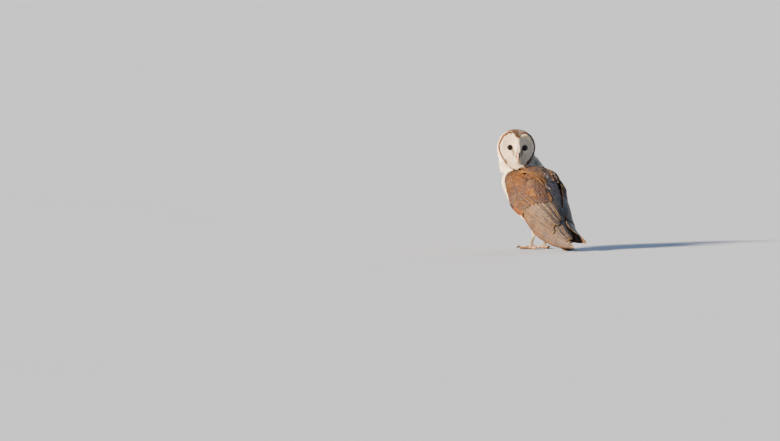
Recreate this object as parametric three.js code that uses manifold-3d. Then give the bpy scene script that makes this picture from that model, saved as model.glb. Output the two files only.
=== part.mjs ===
// A life-size barn owl that stands on a flat floor and looks back over its left shoulder.
// Millimetres, +Z up. The owl's breast faces -Y, its tail +Y and its left wing +X.
// The origin ends at the floor, under the middle of the bounding box.
import * as THREE from "three";
import { mergeVertices } from "three/addons/utils/BufferGeometryUtils.js";
import Module from "manifold-3d";

const wasm = await Module();
wasm.setup();

// ---------------------------------------------------------------- driving dimensions

const GAP = 0.4; // clearance between two pieces that meet

// The body is a run of sections along a curved spine. Each has the spine's y and z, then how
// far the body reaches to the side, to the back and to the breast. Station numbers count from 0.
const STATIONS = [
  { name: "collar_top", y: -58, z: 197, side: 34, back: 15, breast: 38 },
  { name: "collar", y: -55, z: 188, side: 58.5, back: 47, breast: 56 },
  { name: "shoulder", y: -42, z: 166, side: 60, back: 58, breast: 63 },
  { name: "breast", y: -18, z: 143, side: 58, back: 65, breast: 70 },
  { name: "belly", y: 9, z: 118, side: 58, back: 62, breast: 65 },
  { name: "hip", y: 38, z: 86, side: 53, back: 52, breast: 50 },
  { name: "rump", y: 64, z: 58, side: 45, back: 40, breast: 34 },
  { name: "vent", y: 90, z: 38, side: 36, back: 27, breast: 20 },
  { name: "tail", y: 120, z: 21, side: 27, back: 15, breast: 9 },
  { name: "wing_tip", y: 160, z: 8, side: 15, back: 5, breast: 3 },
];
const TRUNK_STARTS = 0;
const TRUNK_ENDS = 7.8;

// The neck hangs from the head, so its sections lie in the head's own frame. Each has its
// height, its middle's place to the owl's left, its half width, and its reach front and back.
const NECK = [
  { up: -4, left: 1, halfWidth: 43, front: 3, behind: 34 },
  { up: -20, left: 5, halfWidth: 51, front: 5, behind: 40 },
  { up: -33, left: 11, halfWidth: 54, front: 8, behind: 43 },
  { up: -43, left: 17, halfWidth: 58, front: 11, behind: 45 },
  { up: -52, left: 18, halfWidth: 58, front: 12, behind: 42 },
  { up: -64, left: 14, halfWidth: 50, front: 10, behind: 30 },
];

const HEAD = {
  x: 5,
  y: -72.5,
  z: 247,
  turn: 147, // degrees to the owl's left, so that it looks back past its wing
  nod: 2,
  roll: -2,
  halfWidth: 48.5,
  above: 46.5,
  below: 54,
  behind: 42,
  centreUp: 5,
  centreBack: 14,
};

// The heart-shaped edge of the face, from the notch on the brow down to the chin, on one side.
const HEART = [
  [0, 34],
  [17, 41],
  [34, 31],
  [43.3, 6],
  [34, -20],
  [16, -42],
  [0, -50],
];
const FACE = {
  front: 20, // how far the face's middle lies in front of the head's centre
  sweepSide: 14, // how far its sides lie behind that
  sweepEnds: 6, // and its brow and chin
  dish: 9,
  plate: 5,
  rimInner: 0.94, // share of the outline where the ruff ends and the dish starts
  ridgeHigh: 13,
  ridgeHalf: 6.5,
};
const EYE = { x: 17.7, y: 5, z: 3, radius: 8.5 };

const WING_TIP_RAISED = { left: 0, right: 13 };

const TAIL = {
  rootY: 74,
  rootZ: 40,
  bendY: 108,
  bendZ: 2,
  tipY: 126,
  tipZ: 1.4,
  halfRoot: 17,
  halfTip: 22,
  feathers: 12,
  arch: 4,
  thickRoot: 4,
  thickTip: 1.4,
  under: 3,
  fan: 9,
};

const LEG = { x: 23, footY: -2, footZ: 8, heelY: 20, toeRadius: 4.1 };

const COLOUR = {
  white: 0xf0ebe0,
  gold: 0xc98a45,
  grey: 0x9b8f86,
  buff: 0xd9b98a,
  disc: 0xf7f2ea,
  horn: 0xe6cfc0,
  eye: 0x0d0a09,
  toe: 0xb79a8a,
  claw: 0x2b2320,
};

// ---------------------------------------------------------------- solids

const radians = THREE.MathUtils.degToRad;
const lerp = THREE.MathUtils.lerp;
const smooth = THREE.MathUtils.smoothstep;

function signedVolume(points, triangles) {
  let sum = 0;
  for (let i = 0; i < triangles.length; i += 3) {
    const [a, b, c] = [0, 1, 2].map((j) => points[triangles[i + j]]);
    sum += a.dot(new THREE.Vector3().crossVectors(b, c));
  }
  return sum;
}

// A closed surface from points and triangles, turned so that its faces point out.
function solid(points, triangles) {
  const facing = signedVolume(points, triangles) < 0 ? [...triangles].reverse() : triangles;
  const geometry = new THREE.BufferGeometry();
  geometry.setFromPoints(points);
  geometry.setIndex(facing);
  return geometry;
}

// Rings of equal length, joined in turn and closed at both ends by a fan.
function loft(rings) {
  const count = rings[0].length;
  const points = rings.flat();
  const triangles = [];
  for (let i = 0; i + 1 < rings.length; i++)
    for (let j = 0; j < count; j++) {
      const a = i * count + j;
      const b = i * count + ((j + 1) % count);
      triangles.push(a, b, b + count, a, b + count, a + count);
    }
  const close = (ring, start, outward) => {
    const middle = ring.reduce((sum, p) => sum.add(p), new THREE.Vector3()).divideScalar(count);
    points.push(middle);
    for (let j = 0; j < count; j++) {
      const pair = [start + j, start + ((j + 1) % count)];
      triangles.push(points.length - 1, ...(outward ? pair : pair.reverse()));
    }
  };
  close(rings[0], 0, false);
  close(rings.at(-1), (rings.length - 1) * count, true);
  return solid(points, triangles);
}

// A curved plate between two grids of points, outer(i, j) and inner(i, j).
function plate(rows, columns, outer, inner) {
  const points = [];
  for (const side of [outer, inner])
    for (let i = 0; i <= rows; i++)
      for (let j = 0; j <= columns; j++) points.push(side(i / rows, j));
  const at = (side, i, j) => (side * (rows + 1) + i) * (columns + 1) + j;
  const triangles = [];
  const quad = (a, b, c, d) => triangles.push(a, b, c, a, c, d);
  for (let i = 0; i < rows; i++)
    for (let j = 0; j < columns; j++) {
      quad(at(0, i, j), at(0, i, j + 1), at(0, i + 1, j + 1), at(0, i + 1, j));
      quad(at(1, i, j), at(1, i + 1, j), at(1, i + 1, j + 1), at(1, i, j + 1));
    }
  for (let i = 0; i < rows; i++) {
    quad(at(0, i, 0), at(0, i + 1, 0), at(1, i + 1, 0), at(1, i, 0));
    quad(at(0, i, columns), at(1, i, columns), at(1, i + 1, columns), at(0, i + 1, columns));
  }
  for (let j = 0; j < columns; j++) {
    quad(at(0, 0, j), at(1, 0, j), at(1, 0, j + 1), at(0, 0, j + 1));
    quad(at(0, rows, j), at(0, rows, j + 1), at(1, rows, j + 1), at(1, rows, j));
  }
  return solid(points, triangles);
}

// A tube of changing radius along points, [x, y, z, radius], with no part under the floor.
function limb(path, sides, flatten = 1) {
  const curve = new THREE.CatmullRomCurve3(path.map((p) => new THREE.Vector3(...p)));
  const steps = path.length - 1;
  const rings = [];
  for (let i = 0; i <= steps; i++) {
    const t = i / steps;
    const centre = curve.getPoint(t);
    const ahead = curve.getTangent(t);
    const side = new THREE.Vector3(-ahead.y, ahead.x, 0).normalize();
    const up = new THREE.Vector3().crossVectors(ahead, side).normalize();
    const place = t * (path.length - 1);
    const before = Math.min(Math.floor(place), path.length - 2);
    const radius = lerp(path[before][3], path[before + 1][3], place - before);
    rings.push(
      Array.from({ length: sides }, (_, j) => {
        const angle = (2 * Math.PI * (j + 0.5)) / sides;
        const p = centre
          .clone()
          .addScaledVector(side, radius * Math.cos(angle))
          .addScaledVector(up, radius * flatten * Math.sin(angle));
        p.z = Math.max(p.z, 0);
        return p;
      }),
    );
  }
  return loft(rings);
}

function toManifold(geometry) {
  const bare = geometry.clone();
  bare.deleteAttribute("normal");
  bare.deleteAttribute("uv");
  const merged = mergeVertices(bare, 1e-4);
  return new wasm.Manifold(
    new wasm.Mesh({
      numProp: 3,
      vertProperties: new Float32Array(merged.attributes.position.array),
      triVerts: new Uint32Array(merged.index.array),
    }),
  );
}

function fromManifold(made) {
  const { numProp, vertProperties, triVerts, numVert } = made.getMesh();
  const places = new Float32Array(numVert * 3);
  for (let i = 0; i < numVert; i++)
    places.set(vertProperties.subarray(i * numProp, i * numProp + 3), i * 3);
  return new THREE.BufferGeometry()
    .setAttribute("position", new THREE.BufferAttribute(places, 3))
    .setIndex(new THREE.BufferAttribute(triVerts, 1));
}

// A geometry with others cut out of it.
function cut(geometry, ...tools) {
  const left = tools.reduce((rest, tool) => rest.subtract(toManifold(tool)), toManifold(geometry));
  const pieces = left.decompose();
  const largest = pieces.reduce((best, p) => (p.volume() > best.volume() ? p : best));
  return fromManifold(largest);
}

// ---------------------------------------------------------------- body

const spine = new THREE.CatmullRomCurve3(
  STATIONS.map(({ y, z }) => new THREE.Vector3(0, y, z)),
  false,
  "catmullrom",
);
const reaches = new THREE.CatmullRomCurve3(
  STATIONS.map(({ side, back, breast }) => new THREE.Vector3(side, back, breast)),
  false,
  "catmullrom",
);

// A point over the body at a station, at an angle from the side (0) towards the back (90)
// or the breast (-90), raised off its surface.
function bodyPoint(station, angle, raised = 0) {
  const t = station / (STATIONS.length - 1);
  const centre = spine.getPoint(t);
  const along = spine.getTangent(t);
  const reach = reaches.getPoint(t);
  const turn = radians(angle);
  const depth = (Math.sin(turn) > 0 ? reach.y : reach.z) + raised;
  const up = depth * Math.sin(turn);
  return new THREE.Vector3(
    (reach.x + raised) * Math.cos(turn),
    centre.y - along.z * up,
    centre.z + along.y * up,
  );
}

const AROUND = 26;

function bodyLoft(from, to, steps, raised = 0) {
  return loft(
    Array.from({ length: steps + 1 }, (_, i) =>
      Array.from({ length: AROUND }, (_, j) =>
        bodyPoint(lerp(from, to, i / steps), (360 * j) / AROUND, raised),
      ),
    ),
  );
}

// ---------------------------------------------------------------- head

const heart = new THREE.CatmullRomCurve3(
  [...HEART, ...HEART.slice(1, -1).reverse().map(([x, y]) => [-x, y])].map(
    ([x, y]) => new THREE.Vector3(x, y, 0),
  ),
  true,
);
const HEART_MIDDLE = -5;
const ROUND_FACE = 28;
const heartPoints = heart.getPoints(400);

// The heart's edge at an angle, measured at its middle from the owl's left.
function heartEdge(angle) {
  const off = (p) => {
    const turn = Math.atan2(p.y - HEART_MIDDLE, p.x) - angle;
    return Math.abs(Math.atan2(Math.sin(turn), Math.cos(turn)));
  };
  return heartPoints.reduce((best, p) => (off(p) < off(best) ? p : best));
}

const faceAngles = Array.from({ length: ROUND_FACE }, (_, j) => (2 * Math.PI * j) / ROUND_FACE + Math.PI / 2);
const faceEdges = faceAngles.map(heartEdge);

function ridge(x, y) {
  const high = FACE.ridgeHigh * smooth(y, -46, -22) * (1 - 0.55 * smooth(y, -5, 32));
  return high * Math.exp(-((x / FACE.ridgeHalf) ** 2));
}

// The face's surface at a share of the way from the heart's middle to its edge.
function facePoint(j, share, sunk = 0) {
  const x = faceEdges[j].x * share;
  const y = HEART_MIDDLE + (faceEdges[j].y - HEART_MIDDLE) * share;
  const sweep = FACE.sweepSide * (x / 42) ** 2 + FACE.sweepEnds * (y / 45) ** 2;
  const bowl = FACE.dish * (1 - share ** 3);
  return new THREE.Vector3(x, y, FACE.front - sweep - bowl + ridge(x, y) - sunk);
}

const faceRing = (share, sunk) => faceAngles.map((_, j) => facePoint(j, share, sunk));

// A ring round the skull at an angle from straight ahead.
function skullRing(fromFront, grown) {
  const turn = radians(fromFront);
  return faceAngles.map((angle) => {
    const high = Math.sin(angle) > 0 ? HEAD.above : HEAD.below;
    return new THREE.Vector3(
      (HEAD.halfWidth + grown) * Math.sin(turn) * Math.cos(angle),
      HEAD.centreUp + (high + grown) * Math.sin(turn) * Math.sin(angle),
      (HEAD.behind + grown) * Math.cos(turn) - HEAD.centreBack,
    );
  });
}

const SKULL_ANGLES = [76, 95, 116, 139, 163];

function skull(grown = 0) {
  const outside = SKULL_ANGLES.map((angle) => skullRing(angle, grown));
  const face = [0.05, 0.5, 1 + grown / HEAD.halfWidth].map((share) => faceRing(share, -grown));
  return loft([...face, ...outside]);
}

// The dished plate of the face, or the room for it when it is grown.
const DISC_SHARES = [0.05, 0.3, 0.55, 0.8, 1];

function faceDisc(grown = 0) {
  const rim = FACE.rimInner + (grown ? 0.01 : 0);
  const front = (grown ? [0.05, 0.6, 1] : DISC_SHARES).map((share) =>
    faceRing(share * rim, grown ? -9 : 0),
  );
  const behind = DISC_SHARES.toReversed().map((share) => faceRing(share * rim, FACE.plate + grown));
  return loft([...front, ...behind]);
}

function neckLoft() {
  return loft(
    NECK.map(({ up, left, halfWidth, front, behind }) =>
      Array.from({ length: AROUND }, (_, j) => {
        const angle = (2 * Math.PI * j) / AROUND;
        const forward = ((front + behind) / 2) * Math.sin(angle) + (front - behind) / 2;
        return new THREE.Vector3(left + halfWidth * Math.cos(angle), up, forward);
      }),
    ),
  );
}

function eyeball(side, grown = 0) {
  return new THREE.SphereGeometry(EYE.radius + grown, 10, 8)
    .rotateX(Math.PI / 2)
    .translate(side * EYE.x, EYE.y, EYE.z);
}

// A bill half as a row of rounded sections, [y, z, half width, half height].
function billHalf(sections, grown = 0) {
  const sides = 8;
  return loft(
    sections.map(([y, z, halfWidth, halfHigh]) =>
      Array.from({ length: sides }, (_, j) => {
        const angle = (2 * Math.PI * j) / sides;
        return new THREE.Vector3(
          (halfWidth + grown) * Math.cos(angle),
          y + 0.35 * (halfHigh + grown) * Math.sin(angle),
          z + (halfHigh + grown) * Math.sin(angle),
        );
      }),
    ),
  );
}

const UPPER_BILL = [
  [-8, 17, 3.4, 4.6],
  [-14, 20.5, 4.2, 4.6],
  [-20, 22.3, 4.2, 4.2],
  [-26, 22.4, 3.3, 3.2],
  [-31, 20.8, 2.1, 2.0],
  [-35, 18.6, 0.8, 0.8],
];
const LOWER_BILL = [
  [-14, 13, 3.0, 1.8],
  [-22, 15.2, 3.2, 1.9],
  [-29, 16.4, 1.6, 1.2],
];

// ---------------------------------------------------------------- wings

// How far down the body's side a folded wing reaches, and how far up its back, in degrees.
const lowerEdge = (station) => lerp(-43, -14, smooth(station, 1.6, 8.2));
const upperEdge = (station) => lerp(30, 84, smooth(station, 1.6, 6.6));
// The line between primaries and secondaries; past the secondaries' tips the primaries open.
const handLine = (station) => lerp(-14, 14, smooth(station, 4.2, 6.9));
const SECONDARY_TIPS = 6.85;
const COVERT_TIPS = 4.45;
const WING_ENDS = 8.85;
// How far the lower edge hangs clear of the body between the coverts and the wing's tip.
const HANG = 16.5;
// How far the layers of a wing lie over the body.
const OVER = { primaries: [1.8, 2.5], secondaries: [4.4, 6.6], coverts: [1.4, 3.2] };
const BULGE = { left: 7.4, right: 16 };

// The line of the coverts' tips, further back near the spine.
const covertTips = (angle) => COVERT_TIPS + 0.5 * smooth(angle, 0, 60);

// One layer of a wing: `domain(u, v)` gives [station, angle]; `high(u, v)` is its outer face's
// height over the body, and `low` its inner face's.
function wingLayer(side, rows, feathers, domain, high, low) {
  const stops = [0, 0.5, 0.999]; // across one feather
  const places = feathers
    ? Array.from({ length: feathers }, (_, f) => stops.map((s) => (f + s) / feathers)).flat()
    : Array.from({ length: 10 }, (_, j) => j / 9);
  const put = (u, j, lift) => {
    const [station, angle] = domain(u, places[j]);
    const bottom = lowerEdge(station);
    const above = (angle - bottom) / (upperEdge(station) - bottom);
    const along = smooth(station, 4.2, 5.8) * (1 - smooth(station, 6.9, 9.1));
    const hanging = HANG * along * (1 - smooth(above, 0, 0.45));
    const p = bodyPoint(station, angle, lift + 0.12 * hanging);
    p.z += WING_TIP_RAISED[side] * smooth(station, 5.4, 8.8) - hanging;
    if (side === "right") p.x *= -1;
    return p;
  };
  const step = (j) => (feathers ? 0.9 * ((places[j] * feathers) % 1) : 0);
  return plate(
    rows,
    places.length - 1,
    (u, j) => put(u, j, high(u, places[j]) + step(j)),
    (u, j) => put(u, j, low),
  );
}

// How far a feather's rounded tip falls short at a place across its width.
const roundTip = (v, feathers) => (2 * ((v * feathers) % 1) - 1) ** 2;

function coverts(side) {
  const domain = (u, v) => {
    const front = lerp(2.85, 1.4, smooth(v, 0, 0.75)) + 0.5 * smooth(v, 0.75, 1);
    const tipAngle = lerp(lowerEdge(COVERT_TIPS), upperEdge(COVERT_TIPS), v);
    const station = lerp(front, covertTips(tipAngle) - 0.05, u);
    return [station, lerp(lowerEdge(station), upperEdge(station), v)];
  };
  const [low, edge] = OVER.coverts;
  const high = (u, v) =>
    edge + BULGE[side] * Math.sin(Math.PI * lerp(0.12, 0.8, u)) * Math.sin(Math.PI * lerp(0.05, 0.86, v));
  return wingLayer(side, 7, 0, domain, high, low);
}

function secondaries(side) {
  const count = 7;
  const [low, top] = OVER.secondaries;
  const domain = (u, v) => {
    const rootAngle = lerp(handLine(COVERT_TIPS), upperEdge(COVERT_TIPS), v);
    const tip = SECONDARY_TIPS - 0.16 * roundTip(v, count) - 0.5 * v * v;
    const station = lerp(covertTips(rootAngle), tip, u);
    return [station, lerp(handLine(station), upperEdge(station), v)];
  };
  return wingLayer(side, 3, count, domain, (u, v) => top - 1.0 * u - 1.0 * v, low);
}

// The primaries slide under the secondaries and come out beyond their tips.
function primaries(side) {
  const count = 6;
  const [low, top] = OVER.primaries;
  const domain = (u, v) => {
    const tip = WING_ENDS - 0.12 * roundTip(v, count) - 0.95 * v ** 1.4;
    const station = lerp(COVERT_TIPS, tip, u);
    const under = lerp(handLine(station) + 8, 78, smooth(station, 5, 7));
    return [station, lerp(lowerEdge(station), under, v)];
  };
  return wingLayer(side, 7, count, domain, () => top, low);
}

// ---------------------------------------------------------------- tail

// Twelve feathers in one fan, bent down from the rump so that their tips lie flat on the floor.
function tail() {
  const line = new THREE.QuadraticBezierCurve3(
    new THREE.Vector3(0, TAIL.rootY, TAIL.rootZ),
    new THREE.Vector3(0, TAIL.bendY, TAIL.bendZ),
    new THREE.Vector3(0, TAIL.tipY, TAIL.tipZ),
  );
  const columns = TAIL.feathers * 2;
  const put = (u, j, lift) => {
    const across = (2 * j) / columns - 1;
    const place = (j / columns) * TAIL.feathers;
    const short = TAIL.fan * across ** 2 + 3 * Math.abs(2 * (place % 1) - 1);
    const p = line.getPoint(u ** 0.7 * (1 - short / 100));
    const arch = TAIL.arch * across ** 2 * (1 - smooth(u, 0.5, 0.75));
    p.x = across * lerp(TAIL.halfRoot, TAIL.halfTip, u);
    p.z = Math.max(p.z - arch + lift, 0);
    return p;
  };
  const thick = (u) => lerp(TAIL.thickRoot, TAIL.thickTip, u);
  return plate(
    4,
    columns,
    (u, j) => put(u, j, thick(u)),
    (u, j) => put(u, j, -TAIL.under),
  );
}

// ---------------------------------------------------------------- legs

// Toes in degrees from straight ahead towards the owl's outer side, with toe and claw lengths.
const TOES = [
  { name: "inner", turn: -24, toe: 29, claw: 16 },
  { name: "middle", turn: 4, toe: 33, claw: 16 },
  { name: "outer", turn: 62, toe: 26, claw: 13 },
  { name: "hallux", turn: 184, toe: 17, claw: 13 },
];

const legX = (side) => (side === "left" ? LEG.x : -LEG.x);

function thigh(side) {
  const x = legX(side);
  const out = Math.sign(x);
  return limb(
    [
      [x + 8 * out, LEG.heelY + 6, 92, 17],
      [x + 6 * out, LEG.heelY + 2, 70, 15],
      [x + 3 * out, LEG.heelY - 4, 52, 10.5],
      [x, LEG.heelY - 9, 38, 7],
      [x, LEG.heelY - 11, 33, 5.9],
    ],
    12,
    1.1,
  );
}

function tarsus(side, grown = 0) {
  const x = legX(side);
  return limb(
    [
      [x, LEG.heelY - 8, 42, 4.8 + grown],
      [x, LEG.heelY - 14, 27, 4.6 + grown],
      [x, LEG.footY + 2, 14, 4.6 + grown],
      [x, LEG.footY, LEG.footZ, 4.8 + grown],
    ],
    9,
  );
}

// The ball of the foot, flat where it stands on the floor, or the room for it.
function footPad(side, grown = 0) {
  const pad = new THREE.SphereGeometry(8.2 + grown, 10, 7)
    .rotateX(Math.PI / 2)
    .scale(1, 1.05, 0.72)
    .translate(legX(side), LEG.footY, 4.6);
  const places = pad.attributes.position;
  if (!grown) {
    for (let i = 0; i < places.count; i++) places.setZ(i, Math.max(places.getZ(i), 0));
  }
  return pad;
}

// The direction a toe points in, seen from above.
function toeHeading(side, turn) {
  const angle = radians(turn);
  return new THREE.Vector2(Math.sign(legX(side)) * Math.sin(angle), -Math.cos(angle));
}

function toe(side, { turn, toe: length }, grown = 0) {
  const heading = toeHeading(side, turn);
  const r = LEG.toeRadius + grown;
  const at = (far, z, radius) => [
    legX(side) + heading.x * far,
    LEG.footY + heading.y * far,
    z,
    radius,
  ];
  return limb(
    [
      at(0, 6.2, r),
      at(length * 0.35, 5.2, r * 0.92),
      at(length * 0.55, 3.6, r * 1.04),
      at(length * 0.78, 3.2, r * 0.88),
      at(length, 3.6, r),
      at(length + 3, 4.4, r * 0.62),
    ],
    8,
  );
}

function claw(side, { turn, toe: length, claw: reach }) {
  const heading = toeHeading(side, turn);
  const at = (far, z, radius) => [
    legX(side) + heading.x * (length + far),
    LEG.footY + heading.y * (length + far),
    z,
    radius,
  ];
  return limb(
    [
      at(1, 4.9, 2.4),
      at(reach * 0.4, 6.3, 2.0),
      at(reach * 0.75, 4.8, 1.3),
      at(reach, 1.0, 0.45),
    ],
    5,
  );
}

// ---------------------------------------------------------------- assembly

function mesh(name, geometry, colour, roughness = 0.85) {
  const material = new THREE.MeshStandardMaterial({ color: colour, roughness, metalness: 0 });
  const made = new THREE.Mesh(geometry, material);
  made.name = name;
  return made;
}

const owl = new THREE.Group();
owl.name = "barn_owl";

const headGroup = new THREE.Group();
headGroup.position.set(HEAD.x, HEAD.y, HEAD.z);
const axisX = new THREE.Vector3(1, 0, 0);
const axisZ = new THREE.Vector3(0, 0, 1);
headGroup.quaternion
  .setFromAxisAngle(axisZ, radians(HEAD.turn))
  .multiply(new THREE.Quaternion().setFromAxisAngle(axisX, radians(90 + HEAD.nod)))
  .multiply(new THREE.Quaternion().setFromAxisAngle(axisZ, radians(HEAD.roll)));
headGroup.updateMatrix();
owl.add(headGroup);

const sockets = [eyeball(1, GAP), eyeball(-1, GAP)];
const billRoom = [billHalf(UPPER_BILL, GAP), billHalf(LOWER_BILL, GAP)];
headGroup.add(
  mesh("head", cut(skull(), faceDisc(GAP), ...sockets, ...billRoom), COLOUR.gold),
  mesh("facial_disc", cut(faceDisc(), ...sockets, ...billRoom), COLOUR.disc),
  mesh("eye_left", eyeball(1), COLOUR.eye, 0.1),
  mesh("eye_right", eyeball(-1), COLOUR.eye, 0.1),
  mesh("bill_upper", billHalf(UPPER_BILL), COLOUR.horn, 0.45),
  mesh("bill_lower", cut(billHalf(LOWER_BILL), billRoom[0]), COLOUR.horn, 0.45),
);

const trunkRoom = bodyLoft(TRUNK_STARTS, TRUNK_ENDS + 0.03, 12, GAP);
const trunkForHead = trunkRoom.clone().applyMatrix4(headGroup.matrix.clone().invert());
headGroup.add(
  mesh("neck", cut(neckLoft(), skull(GAP), faceDisc(GAP), trunkForHead), COLOUR.white),
);
const headRoom = [skull(GAP), faceDisc(GAP)].map((g) => g.applyMatrix4(headGroup.matrix));
owl.add(mesh("trunk", cut(bodyLoft(TRUNK_STARTS, TRUNK_ENDS, 12), ...headRoom), COLOUR.gold));
owl.add(mesh("tail", cut(tail(), trunkRoom), COLOUR.buff));

for (const side of ["left", "right"]) {
  owl.add(
    mesh(`wing_${side}_coverts`, coverts(side), COLOUR.gold),
    mesh(`wing_${side}_secondaries`, secondaries(side), COLOUR.grey),
    mesh(`wing_${side}_primaries`, primaries(side), COLOUR.buff),
    mesh(`thigh_${side}`, cut(thigh(side), trunkRoom, tarsus(side, GAP)), COLOUR.white),
    mesh(`tarsus_${side}`, cut(tarsus(side), footPad(side, GAP)), COLOUR.white),
    mesh(`foot_${side}`, cut(footPad(side)), COLOUR.toe),
  );
  for (const part of TOES) {
    const room = part.name === "inner" ? [toe(side, TOES[1], GAP)] : [];
    owl.add(
      mesh(`toe_${side}_${part.name}`, cut(toe(side, part), footPad(side, GAP), ...room), COLOUR.toe),
      mesh(`claw_${side}_${part.name}`, cut(claw(side, part), toe(side, part, GAP)), COLOUR.claw, 0.35),
    );
  }
}

const reach = new THREE.Box3().setFromObject(owl, true);
const middle = reach.getCenter(new THREE.Vector3());
owl.position.set(-middle.x, -middle.y, -reach.min.z);

export default owl;
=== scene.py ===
# %% [markdown]
# # A life-size barn owl
#
# The solids already hold the owl's size and pose. This file dresses them. It grows one skin from
# the solids of flesh, lays feathers over it in the order in which they grow on a real owl, and
# gives eyes, bill, toes and claws a finish of their own. All lengths in the making are in
# millimetres, in the frame the owl was designed in, and turn into metres when a mesh is made.

# %% Load the solids
import math

import bmesh
import bpy
import numpy as np
from mathutils import Matrix, Vector
from mathutils.bvhtree import BVHTree


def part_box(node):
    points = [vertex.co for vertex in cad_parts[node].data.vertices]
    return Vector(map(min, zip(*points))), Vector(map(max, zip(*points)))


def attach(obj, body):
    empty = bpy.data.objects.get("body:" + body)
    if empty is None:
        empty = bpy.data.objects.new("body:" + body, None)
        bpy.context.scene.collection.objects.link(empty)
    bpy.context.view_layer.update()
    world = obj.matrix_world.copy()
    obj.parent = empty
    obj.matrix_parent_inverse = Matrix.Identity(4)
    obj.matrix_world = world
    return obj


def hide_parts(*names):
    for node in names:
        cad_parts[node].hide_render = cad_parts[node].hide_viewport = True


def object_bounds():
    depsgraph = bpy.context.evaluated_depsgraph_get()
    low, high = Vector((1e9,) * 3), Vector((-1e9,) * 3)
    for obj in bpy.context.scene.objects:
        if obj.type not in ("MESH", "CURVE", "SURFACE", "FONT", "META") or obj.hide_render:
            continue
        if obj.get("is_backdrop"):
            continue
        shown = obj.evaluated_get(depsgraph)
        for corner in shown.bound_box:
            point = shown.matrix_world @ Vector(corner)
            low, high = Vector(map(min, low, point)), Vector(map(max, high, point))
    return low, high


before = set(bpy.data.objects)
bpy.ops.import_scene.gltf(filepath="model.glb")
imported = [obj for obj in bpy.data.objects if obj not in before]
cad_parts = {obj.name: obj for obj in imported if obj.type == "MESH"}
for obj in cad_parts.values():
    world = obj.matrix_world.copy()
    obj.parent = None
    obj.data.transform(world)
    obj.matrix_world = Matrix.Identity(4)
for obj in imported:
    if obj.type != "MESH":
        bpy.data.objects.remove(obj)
solid_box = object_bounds()
chance = np.random.default_rng(11)
MM = 0.001

# %% [markdown]
# ## Where the design frame lies
#
# The owl was designed with its feet near the origin, and was then moved so that the origin lies
# under the middle of its box. The left eye's place is known in both frames, so their difference
# is the move. The head has its own frame too: x to the owl's left, y up and z out of the face.

# %% Head frame and the move between the frames
HEAD_AT = np.array([5.0, -72.5, 247.0])
HEAD_TURN, HEAD_NOD, HEAD_ROLL = 147, 2, -2
EYE = np.array([17.7, 5.0, 3.0])
EYE_RADIUS = 8.5

HEAD_AXES = np.array(
    Matrix.Rotation(math.radians(HEAD_TURN), 3, "Z")
    @ Matrix.Rotation(math.radians(90 + HEAD_NOD), 3, "X")
    @ Matrix.Rotation(math.radians(HEAD_ROLL), 3, "Z")
)


def from_head(points):
    return np.asarray(points, float) @ HEAD_AXES.T + HEAD_AT


def to_head(points):
    return (np.asarray(points, float) - HEAD_AT) @ HEAD_AXES


eye_box = [np.array(corner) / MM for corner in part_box("eye_left")]
MOVED = (eye_box[0] + eye_box[1]) / 2 - from_head(EYE)
print("the owl was moved by", MOVED.round(2), "mm")

# %% [markdown]
# ## A guide to the body
#
# Stations run along a curved spine, and an angle runs round it from the side (0) to the back
# (90) or the breast (-90). Feathers are placed by station and angle, so they follow the body
# whatever its shape, and the wings use the same guide, a little above the body.

# %% Stations, wings and the face's outline
STATIONS = np.array(
    # y, z, side, back, breast
    [
        [-58, 197, 34, 15, 38],
        [-55, 188, 58.5, 47, 56],
        [-42, 166, 60, 58, 63],
        [-18, 143, 58, 65, 70],
        [9, 118, 58, 62, 65],
        [38, 86, 53, 52, 50],
        [64, 58, 45, 40, 34],
        [90, 38, 36, 27, 20],
        [120, 21, 27, 15, 9],
        [160, 8, 15, 5, 3],
    ],
    float,
)
SECONDARY_TIPS, COVERT_TIPS, WING_ENDS, HANG = 6.85, 4.45, 8.85, 16.5
TIP_RAISED = {"left": 0, "right": 13}
BULGE = {"left": 7.4, "right": 16}
BULGE_ENDS = {"left": 0.8, "right": 0.97}


def smooth(value, start, stop):
    t = np.clip((np.asarray(value, float) - start) / (stop - start), 0, 1)
    return t * t * (3 - 2 * t)


def mix(a, b, share):
    return a + (b - a) * share


def catmull(rows, place):
    """A point and its slope on a smooth curve through the rows, at places counted in rows."""
    padded = np.vstack([2 * rows[0] - rows[1], rows, 2 * rows[-1] - rows[-2]])
    place = np.clip(place, 0, len(rows) - 1 - 1e-6)
    before = np.asarray(place).astype(int)
    f = (place - before)[..., None]
    a, b, c, d = (padded[before + k] for k in range(4))
    k1, k2, k3 = c - a, 2 * a - 5 * b + 4 * c - d, 3 * b - a - 3 * c + d
    return b + 0.5 * f * (k1 + f * (k2 + f * k3)), 0.5 * (k1 + f * (2 * k2 + 3 * f * k3))


def body_point(station, angle, lift=0.0):
    station, angle, lift = np.broadcast_arrays(*(np.asarray(v, float) for v in (station, angle, lift)))
    row, slope = catmull(STATIONS, station)
    along = slope[..., :2] / np.linalg.norm(slope[..., :2], axis=-1, keepdims=True)
    turn = np.radians(angle)
    deep = np.where(np.sin(turn) > 0, row[..., 3], row[..., 4]) + lift
    up = deep * np.sin(turn)
    x = (row[..., 2] + lift) * np.cos(turn)
    return np.stack([x, row[..., 0] - along[..., 1] * up, row[..., 1] + along[..., 0] * up], -1)


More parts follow.
